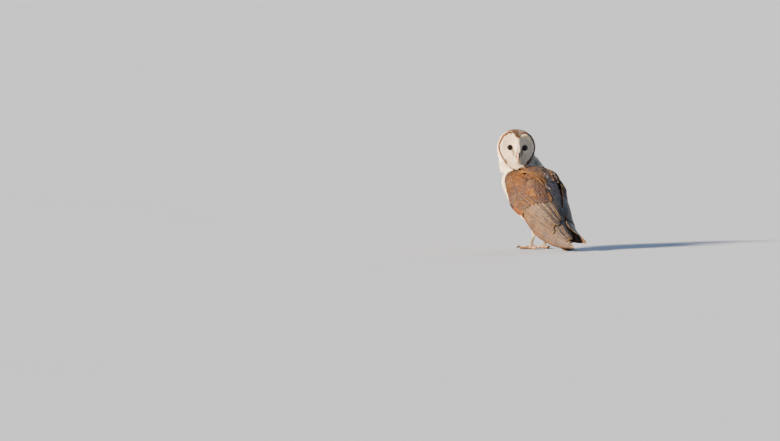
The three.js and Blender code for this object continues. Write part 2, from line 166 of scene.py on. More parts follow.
def body_place(points):
    """The station and angle of points near the body."""
    stations = np.linspace(0, 9, 181)
    spine = catmull(STATIONS, stations)
    along = spine[1][:, :2] / np.linalg.norm(spine[1][:, :2], axis=1, keepdims=True)
    best = []
    for few in np.array_split(points, len(points) // 10000 + 1):
        offset = few[:, None, 1:] - spine[0][None, :, :2]
        ahead = np.abs((offset * along).sum(-1)) + 0.02 * np.linalg.norm(offset, axis=-1)
        best.append(ahead.argmin(1))
    best = np.concatenate(best)
    off = points[:, 1:] - spine[0][best, :2]
    up = -along[best, 1] * off[:, 0] + along[best, 0] * off[:, 1]
    row = spine[0][best]
    deep = np.where(up > 0, row[:, 3], row[:, 4])
    return stations[best], np.degrees(np.arctan2(up / deep, np.abs(points[:, 0]) / row[:, 2]))


def lower_edge(station):
    return mix(-43, -14, smooth(station, 1.6, 8.2))


def upper_edge(station):
    return mix(30, 84, smooth(station, 1.6, 6.6))


def hand_line(station):
    return mix(-14, 14, smooth(station, 4.2, 6.9))


def wing_point(side, station, angle, lift):
    low, high = lower_edge(station), upper_edge(station)
    above = (angle - low) / (high - low)
    along = smooth(station, 4.2, 5.8) * (1 - smooth(station, 6.9, 9.1))
    hanging = HANG * along * (1 - smooth(above, 0, 0.45))
    point = body_point(station, angle, lift + 0.12 * hanging)
    point[..., 2] += TIP_RAISED[side] * smooth(station, 5.4, 8.8) - hanging
    point[..., 0] *= 1 if side == "left" else -1
    return point


HEART = np.array([[0, 34], [17, 41], [34, 31], [43.3, 6], [34, -20], [16, -42], [0, -50]], float)
HEART_MIDDLE = -5.0
outline = np.vstack([HEART, (HEART * [-1, 1])[-2:0:-1], HEART[:1]])
outline = catmull(np.vstack([outline[-2], outline, outline[1]]), 1 + np.linspace(0, 12, 400))[0]
outline_turn = np.arctan2(outline[:, 1] - HEART_MIDDLE, outline[:, 0])
outline_reach = np.hypot(outline[:, 0], outline[:, 1] - HEART_MIDDLE)
order = np.argsort(outline_turn)


def heart_share(head_points):
    """How far out points lie in the face: 0 at its middle and 1 on its heart-shaped edge."""
    x, y = head_points[:, 0], head_points[:, 1] - HEART_MIDDLE
    turn = np.arctan2(y, x)
    reach = np.interp(turn, outline_turn[order], outline_reach[order], period=2 * math.pi)
    return np.hypot(x, y) / reach

# %% [markdown]
# ## One skin for all the flesh
#
# A real owl has one skin from bill to toes. The solids meet with thin gaps, so each is grown a
# little until it overlaps its neighbours, and a voxel remesh joins them into one closed surface.
# The alternative, a boolean union, would keep every crease where two solids meet. The surface is
# then smoothed, least on the face and toes, and sunk by the depth of the feathers.

# %% Join the flesh and remesh it
FLESH = {
    "head": ["head"],
    "disc": ["facial_disc"],
    "neck": ["neck"],
    "trunk": ["trunk"],
    "arm": ["wing_left_coverts", "wing_right_coverts"],
    "leg": ["thigh_left", "thigh_right"],
    "tarsus": ["tarsus_left", "tarsus_right"],
    "toe": [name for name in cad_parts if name.startswith(("foot_", "toe_"))],
}
REGIONS = list(FLESH)
GROWN = 0.45
VOXEL = 1.6


def closed_copy(name, grown):
    """A node's corners in the design frame, pushed out a little, and its triangles."""
    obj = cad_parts[name]
    shape = bmesh.new()
    shape.from_mesh(obj.data)
    bmesh.ops.remove_doubles(shape, verts=shape.verts, dist=1e-6)
    bmesh.ops.triangulate(shape, faces=shape.faces)
    shape.normal_update()
    corners = np.array([(obj.matrix_world @ v.co) / MM for v in shape.verts]) - MOVED
    outward = np.array([v.normal for v in shape.verts])
    faces = [[v.index for v in face.verts] for face in shape.faces]
    shape.free()
    return corners + grown * outward, faces


def grid_mesh(name, corners, faces):
    mesh = bpy.data.meshes.new(name)
    mesh.from_pydata(((np.asarray(corners) + MOVED) * MM).tolist(), [], faces)
    return mesh


def show(mesh, name=None):
    obj = bpy.data.objects.new(name or mesh.name, mesh)
    bpy.context.scene.collection.objects.link(obj)
    return obj


solid_trees = {}
all_corners, all_faces = [], []
for region, names in FLESH.items():
    region_corners, region_faces = [], []
    for name in names:
        corners, faces = closed_copy(name, GROWN)
        region_faces += [[i + len(region_corners) for i in face] for face in faces]
        region_corners += corners.tolist()
    solid_trees[region] = BVHTree.FromPolygons(region_corners, region_faces)
    all_faces += [[i + len(all_corners) for i in face] for face in region_faces]
    all_corners += region_corners

rough = show(grid_mesh("rough_skin", all_corners, all_faces))
remesh = rough.modifiers.new("one_surface", "REMESH")
remesh.mode = "VOXEL"
remesh.voxel_size = VOXEL * MM
joined = bpy.data.meshes.new_from_object(rough.evaluated_get(bpy.context.evaluated_depsgraph_get()))
bpy.data.objects.remove(rough)


def mesh_arrays(mesh):
    points = np.empty(len(mesh.vertices) * 3)
    mesh.vertices.foreach_get("co", points)
    loops = np.empty(len(mesh.loops), int)
    mesh.loops.foreach_get("vertex_index", loops)
    starts = np.empty(len(mesh.polygons), int)
    mesh.polygons.foreach_get("loop_start", starts)
    return points.reshape(-1, 3) / MM - MOVED, np.split(loops, starts[1:])


points, faces = mesh_arrays(joined)
faces = np.array([face for face in faces if len(face) == 4])
edges = np.vstack([faces[:, [k, (k + 1) % 4]] for k in range(4)])
edges = np.unique(np.sort(edges, axis=1), axis=0)


def largest_shell(count, edges):
    """True for the corners of the biggest connected shell, by spreading the lowest number."""
    label = np.arange(count)
    while True:
        low = np.minimum(label[edges[:, 0]], label[edges[:, 1]])
        after = label.copy()
        np.minimum.at(after, edges[:, 0], low)
        np.minimum.at(after, edges[:, 1], low)
        after = after[after]
        if (after == label).all():
            values, sizes = np.unique(label, return_counts=True)
            return label == values[sizes.argmax()]
        label = after


kept = largest_shell(len(points), edges)
renumber = np.cumsum(kept) - 1
faces = renumber[faces[kept[faces].all(1)]]
edges = renumber[edges[kept[edges].all(1)]]
points = points[kept]
degree = np.bincount(edges.ravel(), minlength=len(points)).astype(float)
print("skin:", len(points), "corners,", len(faces), "faces;", (~kept).sum(), "loose corners dropped")


def spread(values, times, share=1.0):
    """Values over the skin, each moved towards the mean of its neighbours."""
    values = np.array(values, float)
    flat = values.reshape(len(values), -1)
    for _ in range(times):
        total = np.empty_like(flat)
        for k in range(flat.shape[1]):
            total[:, k] = np.bincount(edges[:, 0], flat[edges[:, 1], k], len(flat))
            total[:, k] += np.bincount(edges[:, 1], flat[edges[:, 0], k], len(flat))
        flat += np.reshape(share, (-1, 1)) * (total / degree[:, None] - flat)
    return flat.reshape(values.shape)


def face_normals(points):
    a, b, c, d = (points[faces[:, k]] for k in range(4))
    return np.cross(c - a, d - b)


def unit(vectors):
    return vectors / np.maximum(np.linalg.norm(vectors, axis=-1, keepdims=True), 1e-12)


def corner_normals(points):
    normals = np.zeros_like(points)
    across = face_normals(points)
    for k in range(4):
        np.add.at(normals, faces[:, k], across)
    return unit(normals)


# %% [markdown]
# ## Regions that fade into each other
#
# On a real owl the feathers of the face give way to those of the neck with no line between them.
# Each corner of the skin could take the region of the nearest solid, but every border would then
# show as a step. Here the nearest solid gives a first answer of 1 or 0, and that is spread over
# the neighbours, so that near a border a corner belongs to several regions by shares.

# %% How much of each region a corner belongs to
near = np.array([[solid_trees[r].find_nearest(Vector(p))[3] for r in REGIONS] for p in points])
belongs = np.eye(len(REGIONS))[near.argmin(1)]
belongs = dict(zip(REGIONS, spread(belongs, 12).T))
print("skin by region:", {r: round(float(belongs[r].mean()), 2) for r in REGIONS})

# %% [markdown]
# ## Room for the coat
#
# A real owl is far thinner than it looks, and its outline is made by the tips of its feathers. So
# the skin has to lie inside the solids by the coat's depth. A displacement would sink it evenly.
# Here the depth differs by region, from 6 mm on the neck to half a millimetre on the toes and
# round the eyes. The smoothing differs too, as the face and toes would lose their form first.

# %% Smooth the skin and sink it by the depth of its feathers
DEPTH = dict(head=3.6, disc=2.0, neck=6.0, trunk=5.0, arm=4.0, leg=4.0, tarsus=1.6, toe=0.45)
SMOOTHED = dict(head=0.5, disc=0.12, neck=1, trunk=1, arm=1, leg=0.8, tarsus=0.3, toe=0.15)
EYE_RIM_DEPTH = 0.5


def blend(values):
    return sum(values[r] * belongs[r] for r in REGIONS) / sum(belongs.values())


depth = blend(DEPTH)
eye_off = to_head(points) * [1, 1, 0]
eye_off = np.hypot(np.abs(eye_off[:, 0]) - EYE[0], eye_off[:, 1] - EYE[1])
depth = mix(depth, EYE_RIM_DEPTH, belongs["disc"] * (1 - smooth(eye_off, 7, 15)))
points = spread(points, 24, 0.6 * blend(SMOOTHED))
skin_normals = corner_normals(points)
points = points - skin_normals * (depth + GROWN)[:, None]
points = spread(points, 3, 0.5 * blend(SMOOTHED))
points[:, 2] = np.maximum(points[:, 2], 0.0)
skin_normals = corner_normals(points)
skin_tree = BVHTree.FromPolygons(points.tolist(), faces.tolist())
print("skin box", points.min(0).round(1), points.max(0).round(1))

# %% [markdown]
# ## The lie of the feathers
#
# Feathers grow backwards and down from the face, along the body to the tail, down the legs, and
# in rays round each eye. Each region gives its own direction, the regions are blended by how much
# a corner belongs to each, and the result is laid flat on the skin.

# %% Directions over the skin
in_head = to_head(points)
stations, angles = body_place(points)
side_sign = np.where(points[:, 0] < 0, -1.0, 1.0)
LEG_X = 23.0
FOOT_Y = -2.0

ahead = body_point(stations + 0.15, angles) - body_point(stations - 0.15, angles)
ahead[:, 0] *= side_sign
ahead = unit(ahead)
head_side = np.sign(in_head[:, 0])
to_rim = unit(in_head * [1, 1, 0] - np.stack([13 * head_side, 0 * head_side + 3, 0 * head_side], -1))
on_ridge = 1 - smooth(np.abs(in_head[:, 0]), 2, 8) * smooth(in_head[:, 1], -30, -12)
disc_way = mix(to_rim, np.array([0.0, -1.0, 0.15]), on_ridge[:, None])
down = np.tile([0.0, 0.0, -1.0], (len(points), 1))
along_toe = points - np.stack([LEG_X * side_sign, 0 * side_sign + FOOT_Y, points[:, 2]], -1)
ways = {
    "head": np.tile([0.0, -0.55, -1.0], (len(points), 1)) @ HEAD_AXES.T,
    "disc": disc_way @ HEAD_AXES.T,
    "neck": unit(ahead + 0.6 * down),
    "trunk": ahead,
    "arm": ahead,
    "leg": down + 0.25 * ahead,
    "tarsus": down,
    "toe": unit(along_toe),
}


def lay_flat(vectors, normals):
    return unit(vectors - (vectors * normals).sum(-1, keepdims=True) * normals)


way = lay_flat(sum(ways[r] * belongs[r][:, None] for r in REGIONS), skin_normals)
way = lay_flat(spread(way, 4), skin_normals)
print("feathers point down by", (-way[:, 2]).mean().round(2), "of their length on average")

# %% [markdown]
# ## The owl's markings
#
# A barn owl is white below and golden above, with a grey veil on the back and crown, a thin brown
# line round the heart-shaped face, and a rusty tint beside each eye. Four shares hold this for
# every corner of the skin, and each feather takes them from the place where it is rooted. The
# finish then mixes its colours from them, so skin and feathers always agree. Two shares also hold
# painted light: the veil runs on as painted shade over the owl's left side of the crown, head and
# neck, and the crown's gold is thinned on the owl's right side, as if lit.

# %% Shares of gold, grey veil, rust and dark brown
share = heart_share(in_head)
face_x, face_y = np.abs(in_head[:, 0]), in_head[:, 1]
chin_low = smooth(-face_y, 16, 30)
faces_out = smooth(in_head[:, 2] + 14 * chin_low, -34, -16)


def band(values, start, top_start, top_stop, stop):
    return smooth(values, start, top_start) * (1 - smooth(values, top_stop, stop))


def near_line(x, y, a, b, radius):
    """1 on the line from a to b and 0 at a radius from it."""
    a, b = np.array(a, float), np.array(b, float)
    off = np.stack([x, y], -1) - a
    t = np.clip(off @ (b - a) / ((b - a) @ (b - a)), 0, 1)
    return 1 - smooth(np.linalg.norm(off - t[:, None] * (b - a), axis=-1), 0.25 * radius, radius)


in_disc = smooth(belongs["disc"], 0.3, 0.7)
rim_line = band(share, 0.92, 0.945, 0.98, 1.0) * faces_out
crown = smooth(face_y, -6, 24)
nape = 1 - smooth(in_head[:, 2], -40, -8)
cheek = band(share, 1.0, 1.03, 1.1, 1.3) * smooth(face_y, -30, -8)
# painted light: on the owl's right side, where the light falls, the crown's gold is thinned towards white so
# it looks lit
crown_gold_paler_where_lit = (0.5 - 0.1 * smooth(-in_head[:, 0], 0, 24)) * crown
head_gold_and_painted_light = np.clip(crown_gold_paler_where_lit + nape + 0.35 * cheek, 0, 1)
in_front = 1 - smooth(angles, -25, 10)
neck_gold = 1 - smooth(in_head[:, 2], -42, -10)
neck_gold = neck_gold * mix(1, smooth(face_y, -64, -38), in_front)
golden_from = mix(mix(8, -17, smooth(stations, 0.3, 1.4)), -34, smooth(stations, 1.4, 2.4))
back_gold = smooth(angles, golden_from - 4, golden_from + 5)
shoulder = band(stations, 0.9, 1.6, 2.2, 3.0) * band(angles, 2, 16, 36, 50)
collar = smooth(stations, 0.0, 0.9)
gold_and_painted_light_by_region = {
    "head": head_gold_and_painted_light,
    "disc": 0.9 * rim_line,
    "neck": neck_gold * (1 - 0.3 * collar),
    "trunk": back_gold * smooth(stations, -0.2, 0.5),
    "arm": back_gold,
    "leg": 0.36,
    "tarsus": 0.62,
    "toe": 0.2,
}
# the crown's grey veil is real in its middle and runs on as painted shade over the owl's left side, away
# from the light
crown_veil_and_painted_shade = 0.95 * crown * smooth(in_head[:, 0], -32, 6)
# painted shade: grey on the owl's left side of the head, which is turned from the light
head_side_painted_shade = 0.6 * smooth(in_head[:, 0], 22, 38)
# painted shade: grey on the owl's left side of the neck, which is turned from the light
neck_side_painted_shade = 0.6 * smooth(in_head[:, 0], 8, 30)
spine_veil = mix(0.82, 1.0, smooth(stations, 2.2, 3.4))
back_veil = mix(0.72, spine_veil, smooth(angles, 54, 78))
# the veil shares hold the real grey veil and also painted shade on the owl's left side of the head and neck
veil_and_painted_shade_by_region = {
    "head": np.maximum(crown_veil_and_painted_shade, head_side_painted_shade) + 0.4 * nape,
    "disc": 0.0,
    "neck": np.maximum(0.45 * neck_gold, neck_side_painted_shade),
    "trunk": back_veil * back_gold * (1 - 0.7 * shoulder),
    "arm": mix(0.72, 0.8, smooth(angles, 40, 62)) * back_gold * (1 - 0.65 * shoulder),
    "leg": 0.0,
    "tarsus": 0.0,
    "toe": 0.0,
}
gold = np.maximum(spread(blend(gold_and_painted_light_by_region), 2), 0.9 * rim_line)
veil = spread(blend(veil_and_painted_shade_by_region), 2)
tear = near_line(face_x, face_y, (12, -2), (8, -11), 3.6)
round_eye = near_line(face_x, face_y, (15, 4), (19, 6), 10)
rust = in_disc * np.clip(0.55 * tear + 0.3 * round_eye, 0, 1)
rust = np.maximum(rust, rim_line * 0.5)
notch = near_line(face_x, face_y, (0, 34), (0, 40), 4.5) * faces_out
dark = np.maximum(0.5 * notch, in_disc * 0.4 * near_line(face_x, face_y, (11, 1), (9.5, -4), 3))
dark = np.maximum(dark, 0.22 * rim_line)
marks = np.clip(np.stack([gold, veil, rust, dark], -1), 0, 1)
print("gold on", (gold > 0.5).mean().round(2), "of the skin, rust on", (rust > 0.4).sum(), "corners")

# %% [markdown]
# ## Writing finishes as sums
#
# A finish is a small graph of nodes. Building it by hand in code hides what it computes, so one
# class wraps a socket and turns +, -, * and / into Math nodes, and one method makes any other
# node. Colours go through Mix nodes, as a Math node would turn them grey.

# %% A socket that can be added and multiplied, and a recipe for one material
class Value:
    """One socket's output, which takes part in sums as a number would."""

    def __init__(self, recipe, socket):
        self.recipe, self.socket = recipe, socket

    def math(self, operation, *values):
        return self.recipe.node("ShaderNodeMath", {"operation": operation}, dict(enumerate(values)))

    def __add__(self, other):
        return self.math("ADD", self, other)

    def __sub__(self, other):
        return self.math("SUBTRACT", self, other)

    def __rsub__(self, other):
        return self.math("SUBTRACT", other, self)

    def __mul__(self, other):
        return self.math("MULTIPLY", self, other)

    def __truediv__(self, other):
        return self.math("DIVIDE", self, other)

    def __pow__(self, other):
        return self.math("POWER", self, other)

    __radd__ = __add__
    __rmul__ = __mul__

    def size(self):
        return self.math("ABSOLUTE", self)

    def wave(self):
        return self.math("SINE", self)

    def at_most(self, other):
        return self.math("MINIMUM", self, other)

    def at_least(self, other):
        return self.math("MAXIMUM", self, other)

    def step(self, start, stop):
        """0 before start and 1 after stop, with a smooth change between them."""
        settings = {"interpolation_type": "SMOOTHSTEP"}
        return self.recipe.node("ShaderNodeMapRange", settings, {0: self, 1: start, 2: stop})


def paint(red, green, blue):
    """A colour as eyes see it, from 0 to 1, as the linear colour that a shader takes."""
    return tuple(((c + 0.055) / 1.055) ** 2.4 for c in (red, green, blue)) + (1.0,)


class Recipe:
    """A material whose nodes are made by short methods and fed to its one shader."""

    def __init__(self, name, **constants):
        self.material = bpy.data.materials.new(name)
        self.material.use_nodes = True
        self.tree = self.material.node_tree
        self.shader = self.tree.nodes["Principled BSDF"]
        for socket, value in constants.items():
            self.shader.inputs[socket.replace("_", " ")].default_value = value

    def node(self, kind, settings, values, output=0):
        node = self.tree.nodes.new(kind)
        for name, value in settings.items():
            setattr(node, name, value)
        for place, value in values.items():
            if isinstance(value, Value):
                self.tree.links.new(value.socket, node.inputs[place])
            else:
                node.inputs[place].default_value = value
        return Value(self, node.outputs[output])

    def share(self, name, output=2):
        return self.node("ShaderNodeAttribute", {"attribute_name": name}, {}, output)

    def parts(self, value):
        """The three numbers of a vector or a colour."""
        split = self.node("ShaderNodeSeparateXYZ", {}, {0: value})
        return [Value(self, socket) for socket in split.socket.node.outputs]

    def across_and_along(self):
        return self.parts(self.node("ShaderNodeUVMap", {"uv_map": "vane"}, {}))[:2]

    def place(self):
        return self.node("ShaderNodeTexCoord", {}, {}, 3)

    def point(self, x, y, z):
        return self.node("ShaderNodeCombineXYZ", {}, {0: x, 1: y, 2: z})

    def noise(self, where, scale, detail=2.0):
        return self.node("ShaderNodeTexNoise", {}, {"Vector": where, "Scale": scale, "Detail": detail})

    def mix(self, share, a, b):
        return self.node("ShaderNodeMix", {"data_type": "RGBA"}, {0: share, 6: a, 7: b}, 2)

    def feed(self, socket, value):
        self.tree.links.new(value.socket, self.shader.inputs[socket])

    def bump(self, height, distance, strength=0.6):
        values = {"Height": height, "Distance": distance, "Strength": strength}
        self.feed("Normal", self.node("ShaderNodeBump", {}, values))


print("a mid grey of 0.5 is", round(paint(0.5, 0.5, 0.5)[0], 3), "for a shader")


# %% [markdown]
# ## The plumage's finish
#
# Colour comes from the four shares. A grey veil of fine wavy lines lies over the gold, as on a
# real owl's back, and many of its feathers end in a pale drop ringed with dark brown. Each
# feather has a little of its own tone, so that neighbours can be told apart.

# %% Colours and the plumage's finish
WHITE = paint(0.96, 0.93, 0.87)
IVORY = paint(0.84, 0.74, 0.58)
CREAM = paint(0.47, 0.375, 0.235)
BUFF = paint(0.325, 0.24, 0.135)
GOLD = paint(0.365, 0.235, 0.08)
DEEP_GOLD = paint(0.26, 0.145, 0.035)
MOTTLE_DARK = paint(0.12, 0.09, 0.10)
MOTTLE_PALE = paint(0.25, 0.205, 0.215)
VEIL_DARK = paint(0.27, 0.245, 0.25)
VEIL_PALE = paint(0.52, 0.485, 0.48)
RUST = paint(0.36, 0.17, 0.03)
DARK = paint(0.09, 0.055, 0.045)
BAR_DARK = paint(0.13, 0.09, 0.08)
PEPPER_DARK = paint(0.14, 0.14, 0.16)
PEPPER_PALE = paint(0.31, 0.315, 0.335)
SHAFT = paint(0.17, 0.10, 0.05)


def plumage(name, on_feathers, drop_wide=0.13, drop_long=0.06, edged=0.0, wavy=3.2):
    """The finish of skin or body feathers; sizes of the drop are shares of a feather's own."""
    m = Recipe(name, Roughness=0.85, Specular_IOR_Level=0.1, Sheen_Weight=0.03, Sheen_Roughness=0.5)
    gold, veil, rust = m.parts(m.share("marks", 0))
    dark = m.share("marks", 3)
    own = m.share("own")
    place = m.place()
    mottle = m.noise(place, 95.0, 3.0)
    fine = m.noise(place, 900.0, 2.0)
    clouds = m.noise(place, 52.0, 4.0)
    warm = m.mix((mottle + own * 0.35 - 0.1).step(0.35, 0.75), GOLD, DEEP_GOLD)
    base = m.mix((gold * 1.15 + mottle * 0.3 - 0.15).step(0.05, 0.95), m.mix(own * 0.5, WHITE, IVORY), warm)
    if on_feathers:
        across, along = m.across_and_along()
        lines = m.noise(m.point(across * wavy, along * wavy * 3.4, own * 41.0), 1.0, 3.0)
        tipward = along.step(0.25, 0.9)
    else:
        lines = fine
        tipward = mottle.step(0.3, 0.6)
    full_veil = veil.step(0.8, 0.96)
    line_tone = m.mix(full_veil, MOTTLE_DARK, VEIL_DARK)
    between_tone = m.mix(full_veil, MOTTLE_PALE, VEIL_PALE)
    grey = m.mix(lines.step(0.42, 0.58), line_tone, between_tone)
    patchy = (clouds * 1.5 + own * 0.45 - 0.3).step(0.34, 0.72)
    veiled = (veil * (0.5 + tipward * 0.7) * (patchy * 0.85 + 0.25)).at_most(1.0)
    base = m.mix(veiled, base, grey)
    base = m.mix(rust, base, RUST)
    base = m.mix(dark, base, DARK)
    if on_feathers:
        middle = ((across - 0.5) / drop_wide) ** 2.0
        lengthwise = ((along - 0.93 + drop_long) / drop_long) ** 2.0
        drop = (middle + lengthwise) ** 0.5
        spotted = own.step(0.7, 0.74) * (gold + veil).step(0.75, 1.1)
        base = m.mix((1.0 - drop.step(1.3, 1.9)) * spotted * 0.7, base, DARK)
        base = m.mix((1.0 - drop.step(0.4, 0.9)) * spotted * 0.45, base, WHITE)
        edge = (across - 0.5).size().step(0.34, 0.48).at_least(along.step(0.93, 0.99))
        base = m.mix(edge * edged, base, CREAM)
        barbs = (across * 74.0 + (across - 0.5).size() * 30.0 + own * 9.0).wave()
        m.bump(barbs * 0.5 + lines, 0.00012, 0.5)
    else:
        m.bump(fine, 0.0002, 0.5)
    shaded = m.mix((own * 0.2 + fine * 0.16), base, m.mix(0.4, base, DARK))
    m.feed("Base Color", shaded)
    return m.material


def bare_toes():
    """Pinkish horn with fine pebbled scales, with painted shade darkening the creases between them."""
    m = Recipe("toe_finish", Roughness=0.5, Specular_IOR_Level=0.4)
    place = m.place()
    pebbles = m.node("ShaderNodeTexVoronoi", {}, {"Vector": place, "Scale": 750.0})
    tone = m.noise(place, 160.0, 3.0)
    base = m.mix(tone, paint(0.52, 0.37, 0.26), paint(0.43, 0.31, 0.22))
    # painted shade: darker towards the borders of the scales, in the creases
    m.feed("Base Color", m.mix(pebbles.step(0.35, 0.8), base, paint(0.32, 0.20, 0.15)))
    m.feed("Roughness", tone * 0.25 + 0.35)
    m.bump(1.0 - pebbles, 0.0003, 0.7)
    return m.material


toe_finish = bare_toes()
skin_finish = plumage("skin_finish", False)
coat_finish = plumage("coat_finish", True)
covert_finish = plumage("covert_finish", True, 0.055, 0.028, 0.3, 7.0)
scapular_finish = plumage("scapular_finish", True, 0.055, 0.028, 0.6, 7.0)
print("plumage:", len(coat_finish.node_tree.nodes), "nodes")

# %% [markdown]
# ## From corners to a piece
#
# Every piece here is made from arrays of corners and four-sided faces. One function turns them
# into a mesh, adds the maps and shares its finish reads, and lets the piece ride with the owl.

# %% Make a piece
def make_piece(name, corners, faces, finish, over=(), maps=None, shares=None, crisp=0):
    """A mesh that rides with the owl; `crisp` is the ring size of blades that keep sharp sides."""
    mesh = bpy.data.meshes.new(name)
    corners = (np.asarray(corners) + MOVED) * MM
    if isinstance(faces, list):
        mesh.from_pydata(corners.tolist(), [], faces)
    else:
        mesh.vertices.add(len(corners))
        mesh.vertices.foreach_set("co", corners.ravel())
        mesh.loops.add(faces.size)
        mesh.loops.foreach_set("vertex_index", faces.ravel())
        mesh.polygons.add(len(faces))
        mesh.polygons.foreach_set("loop_start", np.arange(len(faces)) * 4)
    mesh.update(calc_edges=True)
    mesh.shade_smooth()
    loops = np.empty(len(mesh.loops), int)
    mesh.loops.foreach_get("vertex_index", loops)
    for map_name, places in (maps or {}).items():
        layer = mesh.uv_layers.new(name=map_name)
        layer.uv.foreach_set("vector", places[loops].ravel())
    for share_name, values in (shares or {}).items():
        kind = "FLOAT_COLOR" if values.ndim == 2 else "FLOAT"
        layer = mesh.attributes.new(share_name, kind, "POINT")
        layer.data.foreach_set("color" if values.ndim == 2 else "value", values.ravel())
    if crisp:
        pairs = np.empty(len(mesh.edges) * 2, int)
        mesh.edges.foreach_get("vertices", pairs)
        turn = pairs.reshape(-1, 2) % crisp
        is_side = (turn[:, 0] == turn[:, 1]) & (turn[:, 0] % 2 == 0)
        mesh.attributes.new("sharp_edge", "BOOLEAN", "EDGE").data.foreach_set("value", is_side)
    for one in finish if isinstance(finish, list) else [finish]:
        mesh.materials.append(one)
    piece = show(mesh)
    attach(piece, "root")
    if over:
        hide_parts(*over)
    print(name, sum(len(face.vertices) - 2 for face in mesh.polygons), "triangles")
    return piece


# %% [markdown]
# ## The skin as a piece
#
# The skin takes the place of the solids of flesh. It carries the same four shares as the feathers,
# so that a gap between two of them shows the right colour, while the bare toes take a finish of
# their own. Its map could be cut by hand along seams. A smart projection does that by itself, and
# the seams of this skin lie under feathers, apart from those on the toes.

# %% The skin
own_tone = spread(chance.random(len(points)), 2)
flesh_names = [name for names in FLESH.values() for name in names]
skin = make_piece(
    "skin",
    points,
    faces,
    [skin_finish, toe_finish],
    flesh_names,
    shares={"marks": marks, "own": own_tone},
)
is_bare = belongs["toe"][faces].mean(1) > 0.5
skin.data.polygons.foreach_set("material_index", is_bare.astype(int))
skin.data.uv_layers.new(name="OFBake")
bpy.context.view_layer.objects.active = skin
skin.select_set(True)
bpy.ops.object.mode_set(mode="EDIT")
bpy.ops.mesh.select_all(action="SELECT")
bpy.ops.uv.smart_project(angle_limit=math.radians(70), island_margin=0.002)
bpy.ops.object.mode_set(mode="OBJECT")
skin_map = np.empty(len(faces) * 8)
skin.data.uv_layers["OFBake"].uv.foreach_get("vector", skin_map)
skin_map = skin_map.reshape(-1, 4, 2).mean(1)
print("skin map from", skin_map.min(0).round(2), "to", skin_map.max(0).round(2))

# %% [markdown]
# ## Feathers over the skin
#
# Each small feather is a thin closed blade that starts at its root in the skin, follows the lie of
# the coat and rises until its tip lies at the coat's full depth. Hair particles would be quicker
# to make, but a model that is handed on keeps only real meshes. Roots are thrown at random and
# kept where none stands too close, which gives the even, unruly spacing of real plumage.

# %% Throw roots over part of the skin
quad_points = points[faces]
diagonals = quad_points[:, 2] - quad_points[:, 0], quad_points[:, 3] - quad_points[:, 1]
quad_area = np.linalg.norm(np.cross(*diagonals), axis=1) / 2
print("the skin's area is", round(quad_area.sum() / 100), "square centimetres")


def throw_roots(where, spacing):
    """Faces and places for roots at least a spacing apart, on the corners where `where` is true."""
    allowed = where[faces].all(1)
    weight = quad_area * allowed
    tries = int(2.6 * weight.sum() / spacing**2)
    chosen = chance.choice(len(faces), tries, p=weight / weight.sum())
    a, b = chance.random((2, tries, 1))
    q = quad_points[chosen]
    thrown = mix(mix(q[:, 0], q[:, 1], a), mix(q[:, 3], q[:, 2], a), b)
    cells = np.floor(thrown / spacing).astype(int).tolist()
    taken, kept = {}, []
    for i, (x, y, z) in enumerate(cells):
        p = thrown[i]
        close = [
            j
            for dx in (-1, 0, 1)
            for dy in (-1, 0, 1)
            for dz in (-1, 0, 1)
            for j in taken.get((x + dx, y + dy, z + dz), ())
        ]
        if close and (((thrown[close] - p) ** 2).sum(1) < spacing**2).any():
            continue
        taken.setdefault((x, y, z), []).append(i)
        kept.append(i)
    return chosen[kept], thrown[kept]


# %% [markdown]
# ## A blade from each root
#
# A real feather has a shaft and two vanes of barbs. At this size a closed strip of six rings is
# enough, each ring a flat diamond. The strip walks over the skin from its root: at every step it
# turns a little towards the lie of the coat, lands on the skin again and is lifted to its place in
# the coat. A bevelled curve could draw such a strip, but wouldn't follow the skin under it.

# %% Grow blades from their roots
coat_depth = np.maximum(depth, 1.2 * (1 - belongs["toe"]))
ROWS_ALONG = np.array([0, 0.22, 0.46, 0.7, 0.88, 1.0])
BLADE_WIDTH = np.array([0.35, 0.82, 1.0, 0.93, 0.62, 0.14])
LOCK_WIDTH = np.array([0.5, 0.9, 1.0, 0.8, 0.48, 0.10])
BLADE = (BLADE_WIDTH, np.array([-0.1, 0.52, 0.76, 0.88, 0.95, 1.0]))
LOCK = (LOCK_WIDTH, np.array([-0.12, 0.4, 0.66, 0.82, 0.93, 1.0]))
BLADE_THIN = np.array([0.5, 1, 1, 0.9, 0.7, 0.4])
RING = np.array([[-1, 0.0], [0, 1.0], [1, 0.0], [0, -0.6]])
ROWS, AROUND = len(ROWS_ALONG), len(RING)
BLADE_CORNERS = ROWS * AROUND
DROOP = 0.11  # how far a blade's edges hang under its middle, as a share of its half width
PATCH = 0.003  # each feather's patch on the skin's map
OVER_FLOOR = 0.6


